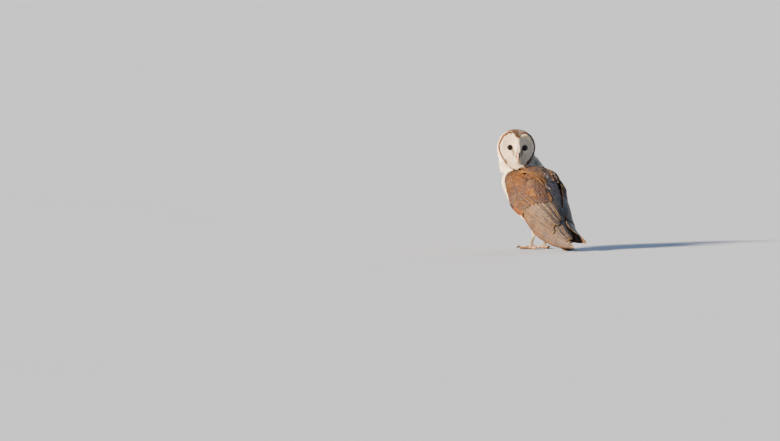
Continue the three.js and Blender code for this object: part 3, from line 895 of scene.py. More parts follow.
def grow(name, where, spacing, length, width, shape, thick, wild, lift=1.0, finish=coat_finish):
    """Feathers in the places that `where` allows; `wild` is how far each strays from the lie."""
    outline, lifting = shape
    root_faces, at = throw_roots(where, spacing)
    count = len(at)
    corner = faces[root_faces, 0]
    long = np.broadcast_to(length, len(points))[corner] * chance.normal(1, 0.1, count).clip(0.7, 1.3)
    wide = np.broadcast_to(width, len(points))[corner] * chance.normal(1, 0.1, count).clip(0.7, 1.3) / 2
    high = chance.normal(0.95, 0.05, count).clip(0.8, 1.1) * np.broadcast_to(lift, len(points))[corner]
    heading = way[corner] + wild * chance.normal(size=(count, 3))
    bend = 0.5 * wild * chance.normal(size=(count, 3))
    spots, normals = np.empty((ROWS, count, 3)), np.empty((ROWS, count, 3))
    here = at.copy()
    for k, t in enumerate(ROWS_ALONG):
        if k:
            here = here + heading * (long * (t - ROWS_ALONG[k - 1]))[:, None]
        found = [skin_tree.find_nearest(p) for p in here.tolist()]
        here = np.array([f[0] for f in found])
        near_corner = faces[[f[2] for f in found], 0]
        normals[k] = skin_normals[near_corner]
        rise = coat_depth[near_corner] * lifting[k] * high
        spots[k] = here + normals[k] * rise[:, None]
        heading = lay_flat(mix(unit(heading), way[near_corner], 0.5) + bend, normals[k])
    spots[:, :, 2] = np.maximum(spots[:, :, 2], OVER_FLOOR)
    forward = unit(np.gradient(spots, axis=0))
    sideways = unit(np.cross(normals, forward))
    up = unit(np.cross(forward, sideways))
    roll = 0.8 * wild * chance.normal(size=count)[:, None]
    turned = sideways * np.cos(roll) + up * np.sin(roll)
    sideways, up = turned, up * np.cos(roll) - sideways * np.sin(roll)
    half = outline[:, None] * wide
    thin = thick * BLADE_THIN[:, None, None]
    ring = [
        spots + sideways * (x * half)[..., None] + up * (y * thin) - up * (abs(x) * DROOP * half)[..., None]
        for x, y in RING
    ]
    corners = np.stack(ring, 2).transpose(1, 0, 2, 3).reshape(-1, 3)
    at_ring = np.arange(BLADE_CORNERS).reshape(ROWS, AROUND)
    after = np.roll(at_ring, -1, axis=1)
    sides = np.stack([at_ring[:-1], after[:-1], after[1:], at_ring[1:]], -1)
    blade = np.vstack([sides.reshape(-1, 4), at_ring[0, ::-1], at_ring[-1]])
    quads = (np.arange(count)[:, None, None] * BLADE_CORNERS + blade).reshape(-1, 4)
    vane = np.stack(np.broadcast_arrays((RING[:, 0] + 1) / 2, ROWS_ALONG[:, None]), -1)
    vane = np.repeat(vane.reshape(1, BLADE_CORNERS, 2), count, 0)
    patch = skin_map[root_faces][:, None] + (vane - 0.5) * PATCH
    root_marks = marks[corner][:, None].repeat(BLADE_CORNERS, 1).reshape(-1, 4)
    own = chance.random(count).repeat(BLADE_CORNERS)
    return make_piece(
        name,
        corners,
        quads,
        finish,
        maps={"OFBake": patch.reshape(-1, 2), "vane": vane.reshape(-1, 2)},
        shares={"marks": root_marks, "own": own},
        crisp=AROUND if shape is BLADE else 0,
    )


# %% [markdown]
# ## The coat, region by region
#
# Feathers are smallest on the face and feet and largest on the back. On the face they are fine
# as hair, on the breast and legs soft and narrow, and on the back broad and rounded, so that each
# shows as a scale with its own markings.

# %% Where each kind of feather grows
def covert_tips(angle):
    return COVERT_TIPS + 0.5 * smooth(angle, 0, 60)


under_wing = (
    (angles > lower_edge(stations) + 4)
    & (angles < upper_edge(stations) - 6)
    & (stations > COVERT_TIPS - 0.1)
    & (stations < WING_ENDS)
)
kind = np.array([belongs[r] for r in REGIONS]).argmax(0)
is_region = {r: kind == i for i, r in enumerate(REGIONS)}
is_body = is_region["trunk"] | is_region["neck"]
from_eye = np.hypot(face_x - EYE[0], face_y - EYE[1])
off_eye = from_eye > 6.9
off_bill = (face_x > 2.6) | (face_y > -12) | (face_y < -33)
golden = gold > 0.45
ruff = (is_region["disc"] | is_region["head"]) & (share > 0.94) & (share < 1.12) & (in_head[:, 2] > -20)
face = is_region["disc"] & off_eye & off_bill & (share < 0.95 - 0.03 * chin_low)
lesser = is_region["arm"] & (stations < covert_tips(angles) - 0.75)
topside = is_region["toe"] & (skin_normals[:, 2] > -0.25) & (points[:, 2] > 1.5)

rim_line_roots = (share > 0.935 - 0.015 * chin_low) & (share < 0.985) & (in_head[:, 2] > -26 - 14 * chin_low)
below_chin = (share < 1.06) & (in_head[:, 2] > -26 - 14 * chin_low)
nose = is_region["disc"] & (face_x < 6.5) & (face_y < 12) & (face_y > -23)
round_lids = is_region["disc"] & (from_eye > 6.5) & (from_eye < 10.5)

disc_length = np.clip((0.94 - share) * 43 + 0.8, 1.2, 7 - 2 * chin_low)
grow("feathers_disc", face, 0.92, disc_length, 0.62, LOCK, 0.1, 0.06)
grow("feathers_lids", round_lids, 0.8, 2.6, 0.5, LOCK, 0.1, 0.08)
grow("feathers_nose", nose, 0.95, 9.0, 0.7, LOCK, 0.12, 0.06, 1.9)
grow("feathers_rim", rim_line_roots, 0.75, 3.0, 0.9, BLADE, 0.14, 0.05, 1.5)
grow("feathers_ruff", ruff & ~rim_line_roots, 1.15, 6.0, 1.3, BLADE, 0.16, 0.06, 1.1)
full_neck = 1 + 0.5 * smooth(in_head[:, 0], 8, 28) * band(in_head[:, 1], -75, -50, -22, 0)
grow("feathers_head", is_region["head"] & ~ruff, 1.6, 9.0, 2.2, BLADE, 0.15, 0.08, full_neck)
pale_front = ((is_body & ~golden & ~under_wing) | (lesser & (gold <= 0.4))) & ~below_chin
grow("feathers_breast", pale_front, 2.0, 15.0, 2.1, LOCK, 0.18, 0.11, full_neck)
nape_fluff = full_neck + 0.3 * (1 - smooth(stations, 0.2, 1.2)) * smooth(angles, 5, 40)
neck_long, neck_wide = (mix(*ends, smooth(stations, 0.4, 1.8)) for ends in ((10, 18), (2.8, 7.0)))
on_back = is_body & golden & ~under_wing & ~below_chin
on_nape, below_nape = on_back & (stations < 0.9), on_back & (stations >= 0.85)
grow("feathers_nape", on_nape, 1.9, neck_long, neck_wide, BLADE, 0.15, 0.07, nape_fluff)
grow("feathers_back", below_nape, 2.7, neck_long, neck_wide, BLADE, 0.16, 0.06, nape_fluff)
shoulder_length = mix(13, 7, smooth(stations, covert_tips(angles) - 1.7, covert_tips(angles) - 0.8))
grow("feathers_shoulders", lesser & (gold > 0.4), 2.3, shoulder_length, 6.0, BLADE, 0.14, 0.06)
grow("feathers_legs", is_region["leg"], 1.5, 10.0, 1.5, LOCK, 0.16, 0.14)
grow("feathers_shanks", is_region["tarsus"], 1.1, 5.0, 0.8, LOCK, 0.12, 0.1)
grow("scales_toes", topside, 1.6, 2.9, 2.7, BLADE, 0.3, 0.05, 1.0, toe_finish)
grow("bristles_toes", topside, 2.6, 4.0, 0.35, LOCK, 0.14, 0.3, 2.2)

# %% [markdown]
# ## Wings of large feathers
#
# The large feathers of a folded wing lie like a fan that has been closed: each covers the next one
# out, and only its outer edge and its tip are seen. Every vane is a thin closed plate on a grid.
# Its middle line runs over the body's guide, its width is laid out on the guide's surface, so that
# it bends with the body, and a slight tilt tucks its inner half under its neighbour.

# %% Plates on a grid
ALONG = np.array([0, 0.1, 0.2, 0.3, 0.4, 0.5, 0.6, 0.69, 0.77, 0.84, 0.89, 0.93, 0.96, 0.982, 1.0])
ACROSS = np.array([0, 0.1, 0.2, 0.29, 0.38, 0.55, 0.72, 0.87, 1.0])
RACHIS = 0.29  # where the shaft runs across a vane
CELL_MARGIN = 0.06  # round each face of a feather on its map


def plates(name, tops, bottoms, finish, over, feather_marks):
    """Closed plates from (feather, row, column) grids of their upper and lower faces."""
    count, rows, columns = tops.shape[:3]
    corners = np.stack([tops, bottoms], 1).reshape(-1, 3)
    each = 2 * rows * columns
    top, under = np.arange(each).reshape(2, rows, columns)
    flat = [
        np.stack([top[:-1, :-1], top[:-1, 1:], top[1:, 1:], top[1:, :-1]], -1),
        np.stack([under[:-1, :-1], under[1:, :-1], under[1:, 1:], under[:-1, 1:]], -1),
    ]
    rim = [
        np.stack([top[:-1, 0], top[1:, 0], under[1:, 0], under[:-1, 0]], -1),
        np.stack([top[1:, -1], top[:-1, -1], under[:-1, -1], under[1:, -1]], -1),
        np.stack([top[0, 1:], top[0, :-1], under[0, :-1], under[0, 1:]], -1),
        np.stack([top[-1, :-1], top[-1, 1:], under[-1, 1:], under[-1, :-1]], -1),
    ]
    quads = np.vstack([grid.reshape(-1, 4) for grid in flat + rim])
    quads = (np.arange(count)[:, None, None] * each + quads).reshape(-1, 4)
    vane = np.stack(np.broadcast_arrays(ACROSS, ALONG[:, None]), -1)
    vane = np.tile(vane.reshape(1, 1, -1, 2), (count, 2, 1, 1))
    wide = math.ceil(math.sqrt(count * 2))
    cell = np.stack(np.divmod(np.arange(count * 2), wide)[::-1], -1).reshape(count, 2, 1, 2)
    layout = (cell + CELL_MARGIN + (1 - 2 * CELL_MARGIN) * vane) / wide
    return make_piece(
        name,
        corners,
        quads,
        finish,
        over,
        maps={"OFBake": layout.reshape(-1, 2), "vane": vane.reshape(-1, 2)},
        shares={
            "marks": np.repeat(feather_marks, each, 0),
            "own": chance.random(count).repeat(each),
        },
    )


NUDGE_STATION, NUDGE_ANGLE = 0.04, 0.8  # small steps that measure how the guide runs
WING_OVER_FLOOR = 0.3


def shaft_ridge():
    return np.exp(-(((ACROSS - RACHIS) / 0.09) ** 2))


def vane_outline(blunt):
    """Half widths along a vane that narrows to its root and ends in a rounded tip."""
    body = 0.45 + 0.55 * smooth(ALONG, 0, 0.35)
    tip = np.sqrt(np.clip(1 - (np.clip(ALONG - blunt, 0, 1) / (1 - blunt)) ** 2, 0, 1))
    return body * np.maximum(tip, 0.05)


def wing_vanes(name, side, path, lift, wide, finish, slot, over, feather_marks, loose=1.0, **form):
    """path(v, t) gives stations and angles; lift(v, t, station, angle) the height over the body."""
    form = {"tilt": 1.0, "thick": 0.4, "blunt": 0.8} | form
    tilt, thick, blunt = form["tilt"], form["thick"], form["blunt"]
    count = len(feather_marks)
    v = (np.arange(count)[:, None] + 0.5 + 0.22 * loose * chance.uniform(-1, 1, (count, 1))) / count
    t = ALONG[None] * (1 + 0.04 * loose * chance.uniform(-1, 1, (count, 1)))
    station, angle = path(v, t)
    angle = angle + loose * t * chance.uniform(-1, 1, (count, 1))
    height = lift(v, t, station, angle)
    middle = wing_point(side, station, angle, height)
    by_station, by_angle = (
        wing_point(side, station + s, angle + a, height) - wing_point(side, station - s, angle - a, height)
        for s, a in ((NUDGE_STATION, 0), (0, NUDGE_ANGLE))
    )
    by_station, by_angle = by_station / (2 * NUDGE_STATION), by_angle / (2 * NUDGE_ANGLE)
    normal = unit(np.cross(by_station, by_angle)) * (1 if side == "left" else -1)
    aside = unit(np.cross(normal, np.gradient(middle, axis=1)))
    aside *= np.sign((aside * by_angle).sum(-1, keepdims=True))
    ss, aa = (by_station**2).sum(-1), (by_angle**2).sum(-1)
    sa = (by_station * by_angle).sum(-1)
    sd, ad = (by_station * aside).sum(-1), (by_angle * aside).sum(-1)
    det = ss * aa - sa * sa
    step_station, step_angle = (sd * aa - ad * sa) / det, (ad * ss - sd * sa) / det
    ragged = 1 + 0.035 * loose * chance.normal(size=(count, len(ALONG), len(ACROSS)))
    half = vane_outline(blunt) * np.broadcast_to(wide, (count, 1))
    reach = half[..., None] * (ACROSS - RACHIS) * 2 * ragged
    camber = tilt * (0.5 - ACROSS) + 0.5 * thick * shaft_ridge()
    tops = wing_point(
        side,
        station[..., None] + step_station[..., None] * reach,
        angle[..., None] + step_angle[..., None] * reach,
        height[..., None] + camber,
    )
    edge = 0.25 + 0.75 * np.sin(np.pi * ACROSS)
    bottoms = tops - normal[:, :, None] * (thick * edge)[:, None]
    for grid in (tops, bottoms):
        grid[..., 2] = np.maximum(grid[..., 2], WING_OVER_FLOOR)
    return plates(name, tops, bottoms, finish, over, feather_marks)


# %% [markdown]
# ## The finish of large feathers
#
# Flight feathers are buff and gold, crossed by a few soft grey bars, peppered with grey towards
# the tip and edged with cream. A fine ridge, the rachis, runs along each, with its barbs at a slant.

# %% Flight feathers' finish
def flight(name, bars):
    """The finish of a large feather, crossed by about as many bars as are asked for."""
    m = Recipe(name, Roughness=0.65, Specular_IOR_Level=0.2)
    across, along = m.across_and_along()
    gold, veil, rust = m.parts(m.share("marks", 0))
    own = m.share("own")
    place = m.place()
    mottle = m.noise(place, 110.0, 3.0)
    pepper = m.noise(m.point(across * 7.0, along * 44.0, own * 23.0), 1.0, 3.0)
    from_rachis = (across - RACHIS).size()
    warm = m.mix(own * 0.6 + mottle * 0.3, GOLD, DEEP_GOLD)
    base = m.mix((gold * (1.25 - from_rachis * 1.2) + mottle * 0.25 - 0.12).step(0.0, 0.9), BUFF, warm)
    bar = ((along * bars + mottle * 0.3 + own * 0.2) * (2 * math.pi)).wave().step(0.0, 0.6)
    barred = bar * (0.35 + from_rachis * 0.9)
    base = m.mix((barred * 1.3).at_most(0.9), base, BAR_DARK)
    grey = m.mix(pepper.step(0.44, 0.58), PEPPER_DARK, PEPPER_PALE)
    base = m.mix((veil * (along * 0.8 + 0.4) * pepper.step(0.2, 0.5)).at_most(0.95), base, grey)
    base = m.mix(along.step(0.35, 0.95) * 0.3, base, BAR_DARK)
    edge = (across - 0.5).size().step(0.42, 0.49).at_least(along.step(0.955, 0.99))
    base = m.mix(edge * 0.75, base, CREAM)
    base = m.mix(1.0 - from_rachis.step(0.012, 0.03), base, SHAFT)
    base = m.mix(rust, base, RUST)
    base = m.mix(m.share("marks", 3) * (1.0 - along.step(0.2, 0.4)), base, DARK)
    barbs = (from_rachis * 60.0 + along * 260.0).wave()
    m.bump(barbs * 0.4 + pepper * 0.4, 0.00015, 0.5)
    m.feed("Base Color", m.mix(barbs * 0.06 + 0.06, base, DARK))
    return m.material


wing_finish = flight("wing_finish", 4.0)
tail_finish = flight("tail_finish", 4.5)
print("flight:", len(wing_finish.node_tree.nodes), "nodes")

# %% [markdown]
# ## Where the wing's feathers lie
#
# In a folded wing the primaries make the tip, the secondaries lie over them like closed blinds,
# three rows of coverts cover their roots, the rusty alula shows at the wing's front edge, and the
# scapulars hide the join with the back. Placing each by hand would take hundreds of numbers. Here
# each row is a path, a station and an angle for every place along a feather, and a height over
# the body, so that all the overlaps stay even.

# %% Wing feathers
def covert_height(side, station, angle):
    v = np.clip((angle - lower_edge(station)) / (upper_edge(station) - lower_edge(station)), 0, 1)
    front = mix(2.85, 1.4, smooth(v, 0, 0.75)) + 0.5 * smooth(v, 0.75, 1)
    u = np.clip((station - front) / (covert_tips(angle) - 0.05 - front), 0, 1)
    along = np.sin(np.pi * mix(0.12, BULGE_ENDS[side], u))
    return 3.2 + BULGE[side] * along * np.sin(np.pi * mix(0.05, 0.86, v))


def marks_for(count, gold, veil, rust=0.0, dark=0.0):
    """Shares for a row of feathers; each may be a number or change along the row."""
    v = (np.arange(count) + 0.5) / count
    shares = (s(v) if callable(s) else s + 0 * v for s in (gold, veil, rust, dark))
    return np.stack([np.clip(share, 0, 1) for share in shares], -1)


def secondary_path(v, t):
    tip = SECONDARY_TIPS - 0.5 * v * v
    station = mix(3.6, tip, t)
    return station, mix(hand_line(station) + 3, upper_edge(station), v)


def primary_path(v, t):
    tip = WING_ENDS - 0.95 * v**1.4
    station = mix(COVERT_TIPS - 0.3, tip, t)
    under = mix(hand_line(station) + 8, 78, smooth(station, 5, 7))
    return station, mix(lower_edge(station) + 2, under, v)


def covert_row(back, length):
    def path(v, t):
        tip_angle = mix(lower_edge(COVERT_TIPS) + 4, upper_edge(COVERT_TIPS), v)
        station = covert_tips(tip_angle) - back + length * (t - 1)
        return station, mix(lower_edge(station) + 4, upper_edge(station) - 3, v)

    return path


def alula_path(v, t):
    station = mix(2.9, 3.25, v) + 1.35 * t
    return station, lower_edge(station) + 1.5 + 10 * v + 0 * t


SCAPULAR_ROWS, SCAPULARS_EACH = 3, 5


def scapular_row(v):
    """Which row a scapular is in, from the wing's edge up, and its place along the row."""
    place = np.clip(v, 0, 0.999) * SCAPULAR_ROWS
    return np.floor(place), (place % 1) * SCAPULARS_EACH


def scapular_path(v, t):
    row, place = scapular_row(v)
    station = 1.2 + 0.4 * place - 0.2 * row + 1.15 * t
    return station, 40 + 24 * smooth(station, 1.2, 4.2) + 8.5 * row


def scapular_lift(side):
    def lift(v, t, station, angle):
        edge = covert_height(side, station, upper_edge(station))
        row, place = scapular_row(v)
        return (edge + 0.5) * (0.95 - 0.36 * row) + mix(-2.2, 0.6, t)

    return lift


for side in ("left", "right"):
    wing_vanes(
        f"primaries_{side}",
        side,
        primary_path,
        lambda v, t, station, angle: 2.5 + 0 * station,
        9.0,
        wing_finish,
        "flight",
        [f"wing_{side}_primaries"],
        marks_for(8, lambda v: 0.95 - 0.45 * v, lambda v: 0.35 + 0.9 * v),
        loose=1.6,
    )
    wing_vanes(
        f"secondaries_{side}",
        side,
        secondary_path,
        lambda v, t, station, angle: 6.3 - 0.9 * t - 0.7 * v + 0 * station,
        10.5,
        wing_finish,
        "flight",
        [f"wing_{side}_secondaries"],
        marks_for(11, lambda v: 0.55 - 0.1 * v, lambda v: 0.5 + 0.5 * smooth(v, 0.1, 0.5)),
        loose=1.8,
    )
    for row, back, length, wide, over_skin in (
        ("greater", 0.0, 1.15, 7.5, (-3.0, 0.9)),
        ("middle", 0.5, 1.05, 6.6, (-3.2, 0.8)),
        ("small", 0.92, 0.95, 5.8, (-3.2, 0.7)),
    ):
        wing_vanes(
            f"coverts_{row}_{side}",
            side,
            covert_row(back, length),
            lambda v, t, station, angle: covert_height(side, station, angle) + mix(*over_skin, t),
            wide,
            covert_finish,
            "coverts",
            [],
            marks_for(15, lambda v: 0.95 - 0.2 * v, lambda v: 0.72 + 0.06 * smooth(v, 0.3, 0.9)),
            tilt=0.8,
            thick=0.35,
            blunt=0.62,
        )
    wing_vanes(
        f"alula_{side}",
        side,
        alula_path,
        lambda v, t, station, angle: covert_height(side, station, angle) + mix(0.4, 1.7, t),
        4.6,
        wing_finish,
        "coverts",
        [],
        marks_for(5, 1.0, 0.0, 0.7, 0.9),
        blunt=0.7,
    )
    wing_vanes(
        f"scapulars_{side}",
        side,
        scapular_path,
        scapular_lift(side),
        3.7,
        scapular_finish,
        "coverts",
        [],
        marks_for(SCAPULAR_ROWS * SCAPULARS_EACH, 0.95, lambda v: 0.5 + 0.25 * v),
        tilt=1.6 if side == "left" else 3.0,
        blunt=0.6,
    )

# %% [markdown]
# ## The tail
#
# Twelve feathers leave the rump in a fan that bends down to the floor. The middle pair lies on
# top, and each further out lies under its neighbour.

# %% Tail feathers
TAIL_LINE = np.array([[74, 40], [108, 2], [126, 1.4]], float)
TAIL_FEATHERS = 12
middle_feather = (TAIL_FEATHERS - 1) / 2
across_tail = (np.arange(TAIL_FEATHERS) - middle_feather) / middle_feather
t = (ALONG[None] * (1 - 0.075 * across_tail[:, None] ** 2)) ** 0.75
start, bend, end = TAIL_LINE[:, :, None, None]
y, z = (1 - t) ** 2 * start + 2 * t * (1 - t) * bend + t * t * end
x = across_tail[:, None] * mix(12, 18, t)
outer = np.abs(across_tail[:, None])
z = z + 2.2 * (1 - outer) + 0.4 - 3 * outer**2 * (1 - smooth(t, 0.5, 0.8))
half = vane_outline(0.8) * 5.4
reach = (ACROSS - 0.5) * 2 * half[:, None]
outward = np.where(across_tail < 0, -1, 1)[:, None, None]
tops = np.stack(
    [
        x[..., None] + reach,
        np.broadcast_to(y[..., None], x.shape + (len(ACROSS),)),
        z[..., None] - 0.5 * outward * (ACROSS - 0.5) + 0.25 * shaft_ridge(),
    ],
    -1,
)
bottoms = tops - [0, 0, 0.5]
tops[..., 2] = np.maximum(tops[..., 2], 0.5)
bottoms[..., 2] = np.maximum(bottoms[..., 2], 0.0)
plates("tail_feathers", tops, bottoms, tail_finish, ["tail"], marks_for(TAIL_FEATHERS, 0.55, 0.35))

# %% [markdown]
# ## Eyes, lids and bill
#
# A barn owl's eyes are nearly black and wet. Each lies deep in the face behind a dusky rim of lid,
# which is a closed band that wraps the ball and runs on under the feathers. The bill is slim and
# hooked, and only its lower half comes out between the feathers of the nose.

# %% Closed surfaces from rings
def loft(rings):
    """Corners and faces of a surface through rings of equal length, closed at both ends."""
    rings = np.asarray(rings)
    rows, around = rings.shape[:2]
    at = np.arange(rows * around).reshape(rows, around)
    after = np.roll(at, -1, axis=1)
    sides = np.stack([at[:-1], after[:-1], after[1:], at[1:]], -1).reshape(-1, 4)
    return rings.reshape(-1, 3), sides.tolist() + [at[0, ::-1].tolist(), at[-1].tolist()]


def ring_map(rows, around):
    """A plain map for a loft: round it across, and from end to end along."""
    turn, row = np.meshgrid(np.linspace(0, 1, around), np.linspace(0, 1, rows))
    return np.stack([turn, row], -1).reshape(-1, 2)


def eye_finish():
    m = Recipe("eye_finish", Roughness=0.1, Specular_IOR_Level=0.2, Coat_Weight=0.2, Coat_Roughness=0.02)
    across, along = m.across_and_along()
    streaks = m.noise(m.point(across * 40.0, along * 3.0, 0.0), 1.0, 2.0)
    iris = along.step(0.10, 0.15) * (1.0 - along.step(0.27, 0.3))
    m.feed("Base Color", m.mix(iris * streaks, paint(0.012, 0.010, 0.010), paint(0.13, 0.075, 0.045)))
    return m.material


def lid_finish():
    m = Recipe("lid_finish", Roughness=0.55, Specular_IOR_Level=0.35)
    along = m.across_and_along()[1]
    tone = m.noise(m.place(), 600.0, 3.0)
    edge = 1.0 - along.step(0.32, 0.6)
    skin_tone = m.mix(tone, paint(0.50, 0.36, 0.28), paint(0.36, 0.24, 0.18))
    m.feed("Base Color", m.mix(edge, skin_tone, paint(0.07, 0.045, 0.04)))
    m.bump(tone, 0.0002, 0.6)
    return m.material


eye_material, lid_material = eye_finish(), lid_finish()
print("finishes of the eye:", eye_material.name, lid_material.name)

# %% [markdown]
# ## The eyes and their lids
#
# An owl's eyes can't turn, so each is set deep and looks a little outwards from the face. The ball
# takes the place of the solid one and swells in front into a clear cornea. The lid is a section
# that is turned round the line of sight, with an opening that is lower than it is wide and runs
# out into a corner. Cutting a hole in a larger ball would leave a hard and even edge instead.

# %% Eyes and lids
EYE_ROWS, EYE_AROUND, LID_AROUND = 40, 56, 64
# the lid's section, as angles from the line of sight and distances from the eye's centre
LID_SECTION = np.array(
    [[47, 8.8], [47.3, 9.05], [49, 9.2], [53, 9.15], [59, 9.1], [67, 9.3], [78, 9.5], [78, 8.9], [62, 8.7]]
)
LID_OPENS, LID_ENDS = 47, 78


def eye_axes(sign):
    """Axes at an eye: across the face, up, and out along the line of sight."""
    sight = unit(np.array([0.30 * sign, -0.02, 1.0]))
    across = unit(np.cross([0, 1, 0], sight))
    return np.array([across, np.cross(sight, across), sight])


def round_sight(far, away, turn):
    """Points at a distance and an angle away from the line of sight, turned round it."""
    beside = far * np.sin(away)
    return np.stack([beside * np.cos(turn), beside * np.sin(turn), far * np.cos(away) + 0 * turn], -1)


for side, sign in (("left", 1), ("right", -1)):
    centre, axes = EYE * [sign, 1, 1], eye_axes(sign)
    tilt = np.linspace(0.01, math.pi - 0.01, EYE_ROWS)[:, None]
    turn = np.linspace(0, 2 * math.pi, EYE_AROUND, endpoint=False)[None]
    ball = EYE_RADIUS - 0.1 + 0.55 * (1 - smooth(tilt, 0.3, 0.75))
    corners, faces_here = loft(round_sight(ball, tilt, turn) @ axes + centre)
    make_piece(
        f"eyeball_{side}",
        from_head(corners),
        faces_here,
        eye_material,
        [f"eye_{side}"],
        maps={"vane": ring_map(EYE_ROWS, EYE_AROUND)},
    )
    turn = np.linspace(0, 2 * math.pi, LID_AROUND, endpoint=False)
    brow = 1 - 0.14 * np.clip(np.sin(turn), 0, 1) ** 2 - 0.08 * np.clip(-np.sin(turn), 0, 1) ** 2
    inner_corner = 1 + 0.16 * np.exp(-(((np.degrees(turn) - (180 if sign > 0 else 360)) / 16) ** 2))
    inner_corner += 0.16 * np.exp(-((np.degrees(turn) / 16) ** 2)) * (sign < 0)
    open_by = brow * inner_corner
    section_angle, reach = LID_SECTION[:, :1], LID_SECTION[:, 1:]
    away = np.radians(section_angle) * mix(open_by, 1, smooth(section_angle, LID_OPENS, LID_ENDS))
    lid = round_sight(reach, away, turn)
    rows, around = lid.shape[:2]
    at = np.arange(rows * around).reshape(rows, around)
    band_faces = np.stack(
        [at, np.roll(at, -1, 1), np.roll(np.roll(at, -1, 1), -1, 0), np.roll(at, -1, 0)], -1
    ).reshape(-1, 4)
    lid_map = np.stack(np.broadcast_arrays(turn / (2 * math.pi), np.linspace(0, 1, rows)[:, None]), -1)
    make_piece(
        f"lids_{side}",
        from_head((lid @ axes + centre).reshape(-1, 3)),
        band_faces,
        lid_material,
        maps={"vane": lid_map.reshape(-1, 2)},
    )

# %% [markdown]
# ## The bill
#
# A barn owl's bill is long and slim, and hangs down along the face with a small hook at its tip.
# Each half is lofted through sections along a curved middle line, with a half width and a half
# height at each. A keel narrows the top of the upper half, and a shallow dent on each side stands
# for the nostril. Sculpting would reach the same form, but couldn't be changed by its numbers.

# %% Bill
def bill_finish():
    """Ivory horn, pink at its root, with growth lines along it."""
    m = Recipe("bill_finish", Roughness=0.33, Specular_IOR_Level=0.45, Coat_Weight=0.15, Coat_Roughness=0.25)
    across, along = m.across_and_along()
    grain = m.noise(m.point(across * 14.0, along * 3.0, 0.0), 1.0, 3.0)
    base = m.mix(along.step(0.1, 0.75), paint(0.52, 0.37, 0.31), paint(0.64, 0.53, 0.42))
    base = m.mix(grain.step(0.4, 0.7) * 0.4, base, paint(0.42, 0.30, 0.25))
    m.feed("Base Color", m.mix(along.step(0.86, 1.0) * 0.5, base, paint(0.28, 0.20, 0.16)))
    m.feed("Roughness", grain * 0.2 + 0.25)
    m.bump(grain, 0.0002, 0.5)
    return m.material


UPPER_BILL = np.array(
    # y, z, half width, half height
    [
        [-8, 17, 3.4, 4.6],
        [-14, 20.3, 3.7, 4.4],
        [-20, 21.8, 3.3, 4.0],
        [-26, 21.8, 2.6, 3.1],
        [-31, 20.3, 1.7, 2.0],
        [-34.5, 18.4, 0.75, 0.9],
        [-36, 17.0, 0.2, 0.25],
    ]
)
LOWER_BILL = np.array(
    [[-14, 13, 3.0, 1.8], [-22, 15.2, 3.0, 1.9], [-28, 16.4, 1.7, 1.3], [-30.5, 16.6, 0.3, 0.3]]
)
BILL_ROWS, BILL_AROUND = 30, 32
NOSTRIL_AT, NOSTRIL_LONG = 1.1, 0.28  # counted in sections
NOSTRIL_UP, NOSTRIL_HIGH = 0.45, 0.2
bill_material = bill_finish()


def bump_at(value, middle, wide):
    return np.exp(-(((value - middle) / wide) ** 2))


def bill(name, rows, node, keel):
    """A half of the bill; a keel narrows its section towards the front."""
    place = np.linspace(0, len(rows) - 1, BILL_ROWS)
    line, slope = catmull(rows, place)
    turn = np.linspace(0, 2 * math.pi, BILL_AROUND, endpoint=False)
    ahead = unit(np.stack([0 * place, slope[:, 0], slope[:, 1]], -1))
    out = np.cross([1.0, 0, 0], ahead) * -1
    out *= np.sign(out[:, 2:3])
    narrow = 1 - keel * np.clip(np.sin(turn), 0, 1) ** 2
    aside = line[:, 2:3] * np.cos(turn) * narrow
    front = line[:, 3:4] * np.sin(turn)
    nostril = bump_at(place[:, None], NOSTRIL_AT, NOSTRIL_LONG)
    nostril = nostril * bump_at(np.abs(np.sin(turn)), NOSTRIL_UP, NOSTRIL_HIGH)
    aside = aside * (1 - 0.252 * nostril * (np.sin(turn) > 0))
    rings = np.stack([aside, 0 * aside + line[:, :1], 0 * aside + line[:, 1:2]], -1)
    corners, faces_here = loft(rings + front[..., None] * out[:, None])
    sides_map = {"vane": ring_map(BILL_ROWS, BILL_AROUND)}
    make_piece(name, from_head(corners), faces_here, bill_material, [node], maps=sides_map)


bill("upper_beak", UPPER_BILL, "bill_upper", 0.35)
bill("lower_beak", LOWER_BILL, "bill_lower", 0.0)


# %% [markdown]
# ## Claws
#
# Each toe ends in a long thin claw that curves down to the floor. A round section that shrinks
# along a smooth curve is all it takes, and a flat underside gives the grip of a real talon.

# %% Claws
def claw_finish():
    m = Recipe("claw_finish", Roughness=0.28, Specular_IOR_Level=0.5, Coat_Weight=0.3, Coat_Roughness=0.2)
    across, along = m.across_and_along()
    grain = m.noise(m.point(across * 9.0, along * 4.0, 0.0), 1.0, 3.0)
    base = m.mix(along.step(0.0, 0.35), paint(0.45, 0.37, 0.33), paint(0.13, 0.10, 0.09))
    m.feed("Base Color", m.mix(grain.step(0.45, 0.75) * 0.4, base, paint(0.30, 0.23, 0.20)))
    m.feed("Roughness", grain * 0.25 + 0.2)
    m.bump(grain, 0.00015, 0.4)
    return m.material


# each toe's heading in degrees from straight ahead, its length and its claw's length
TOES = {"inner": (-24, 29, 16), "middle": (4, 33, 16), "outer": (62, 26, 13), "hallux": (184, 17, 13)}
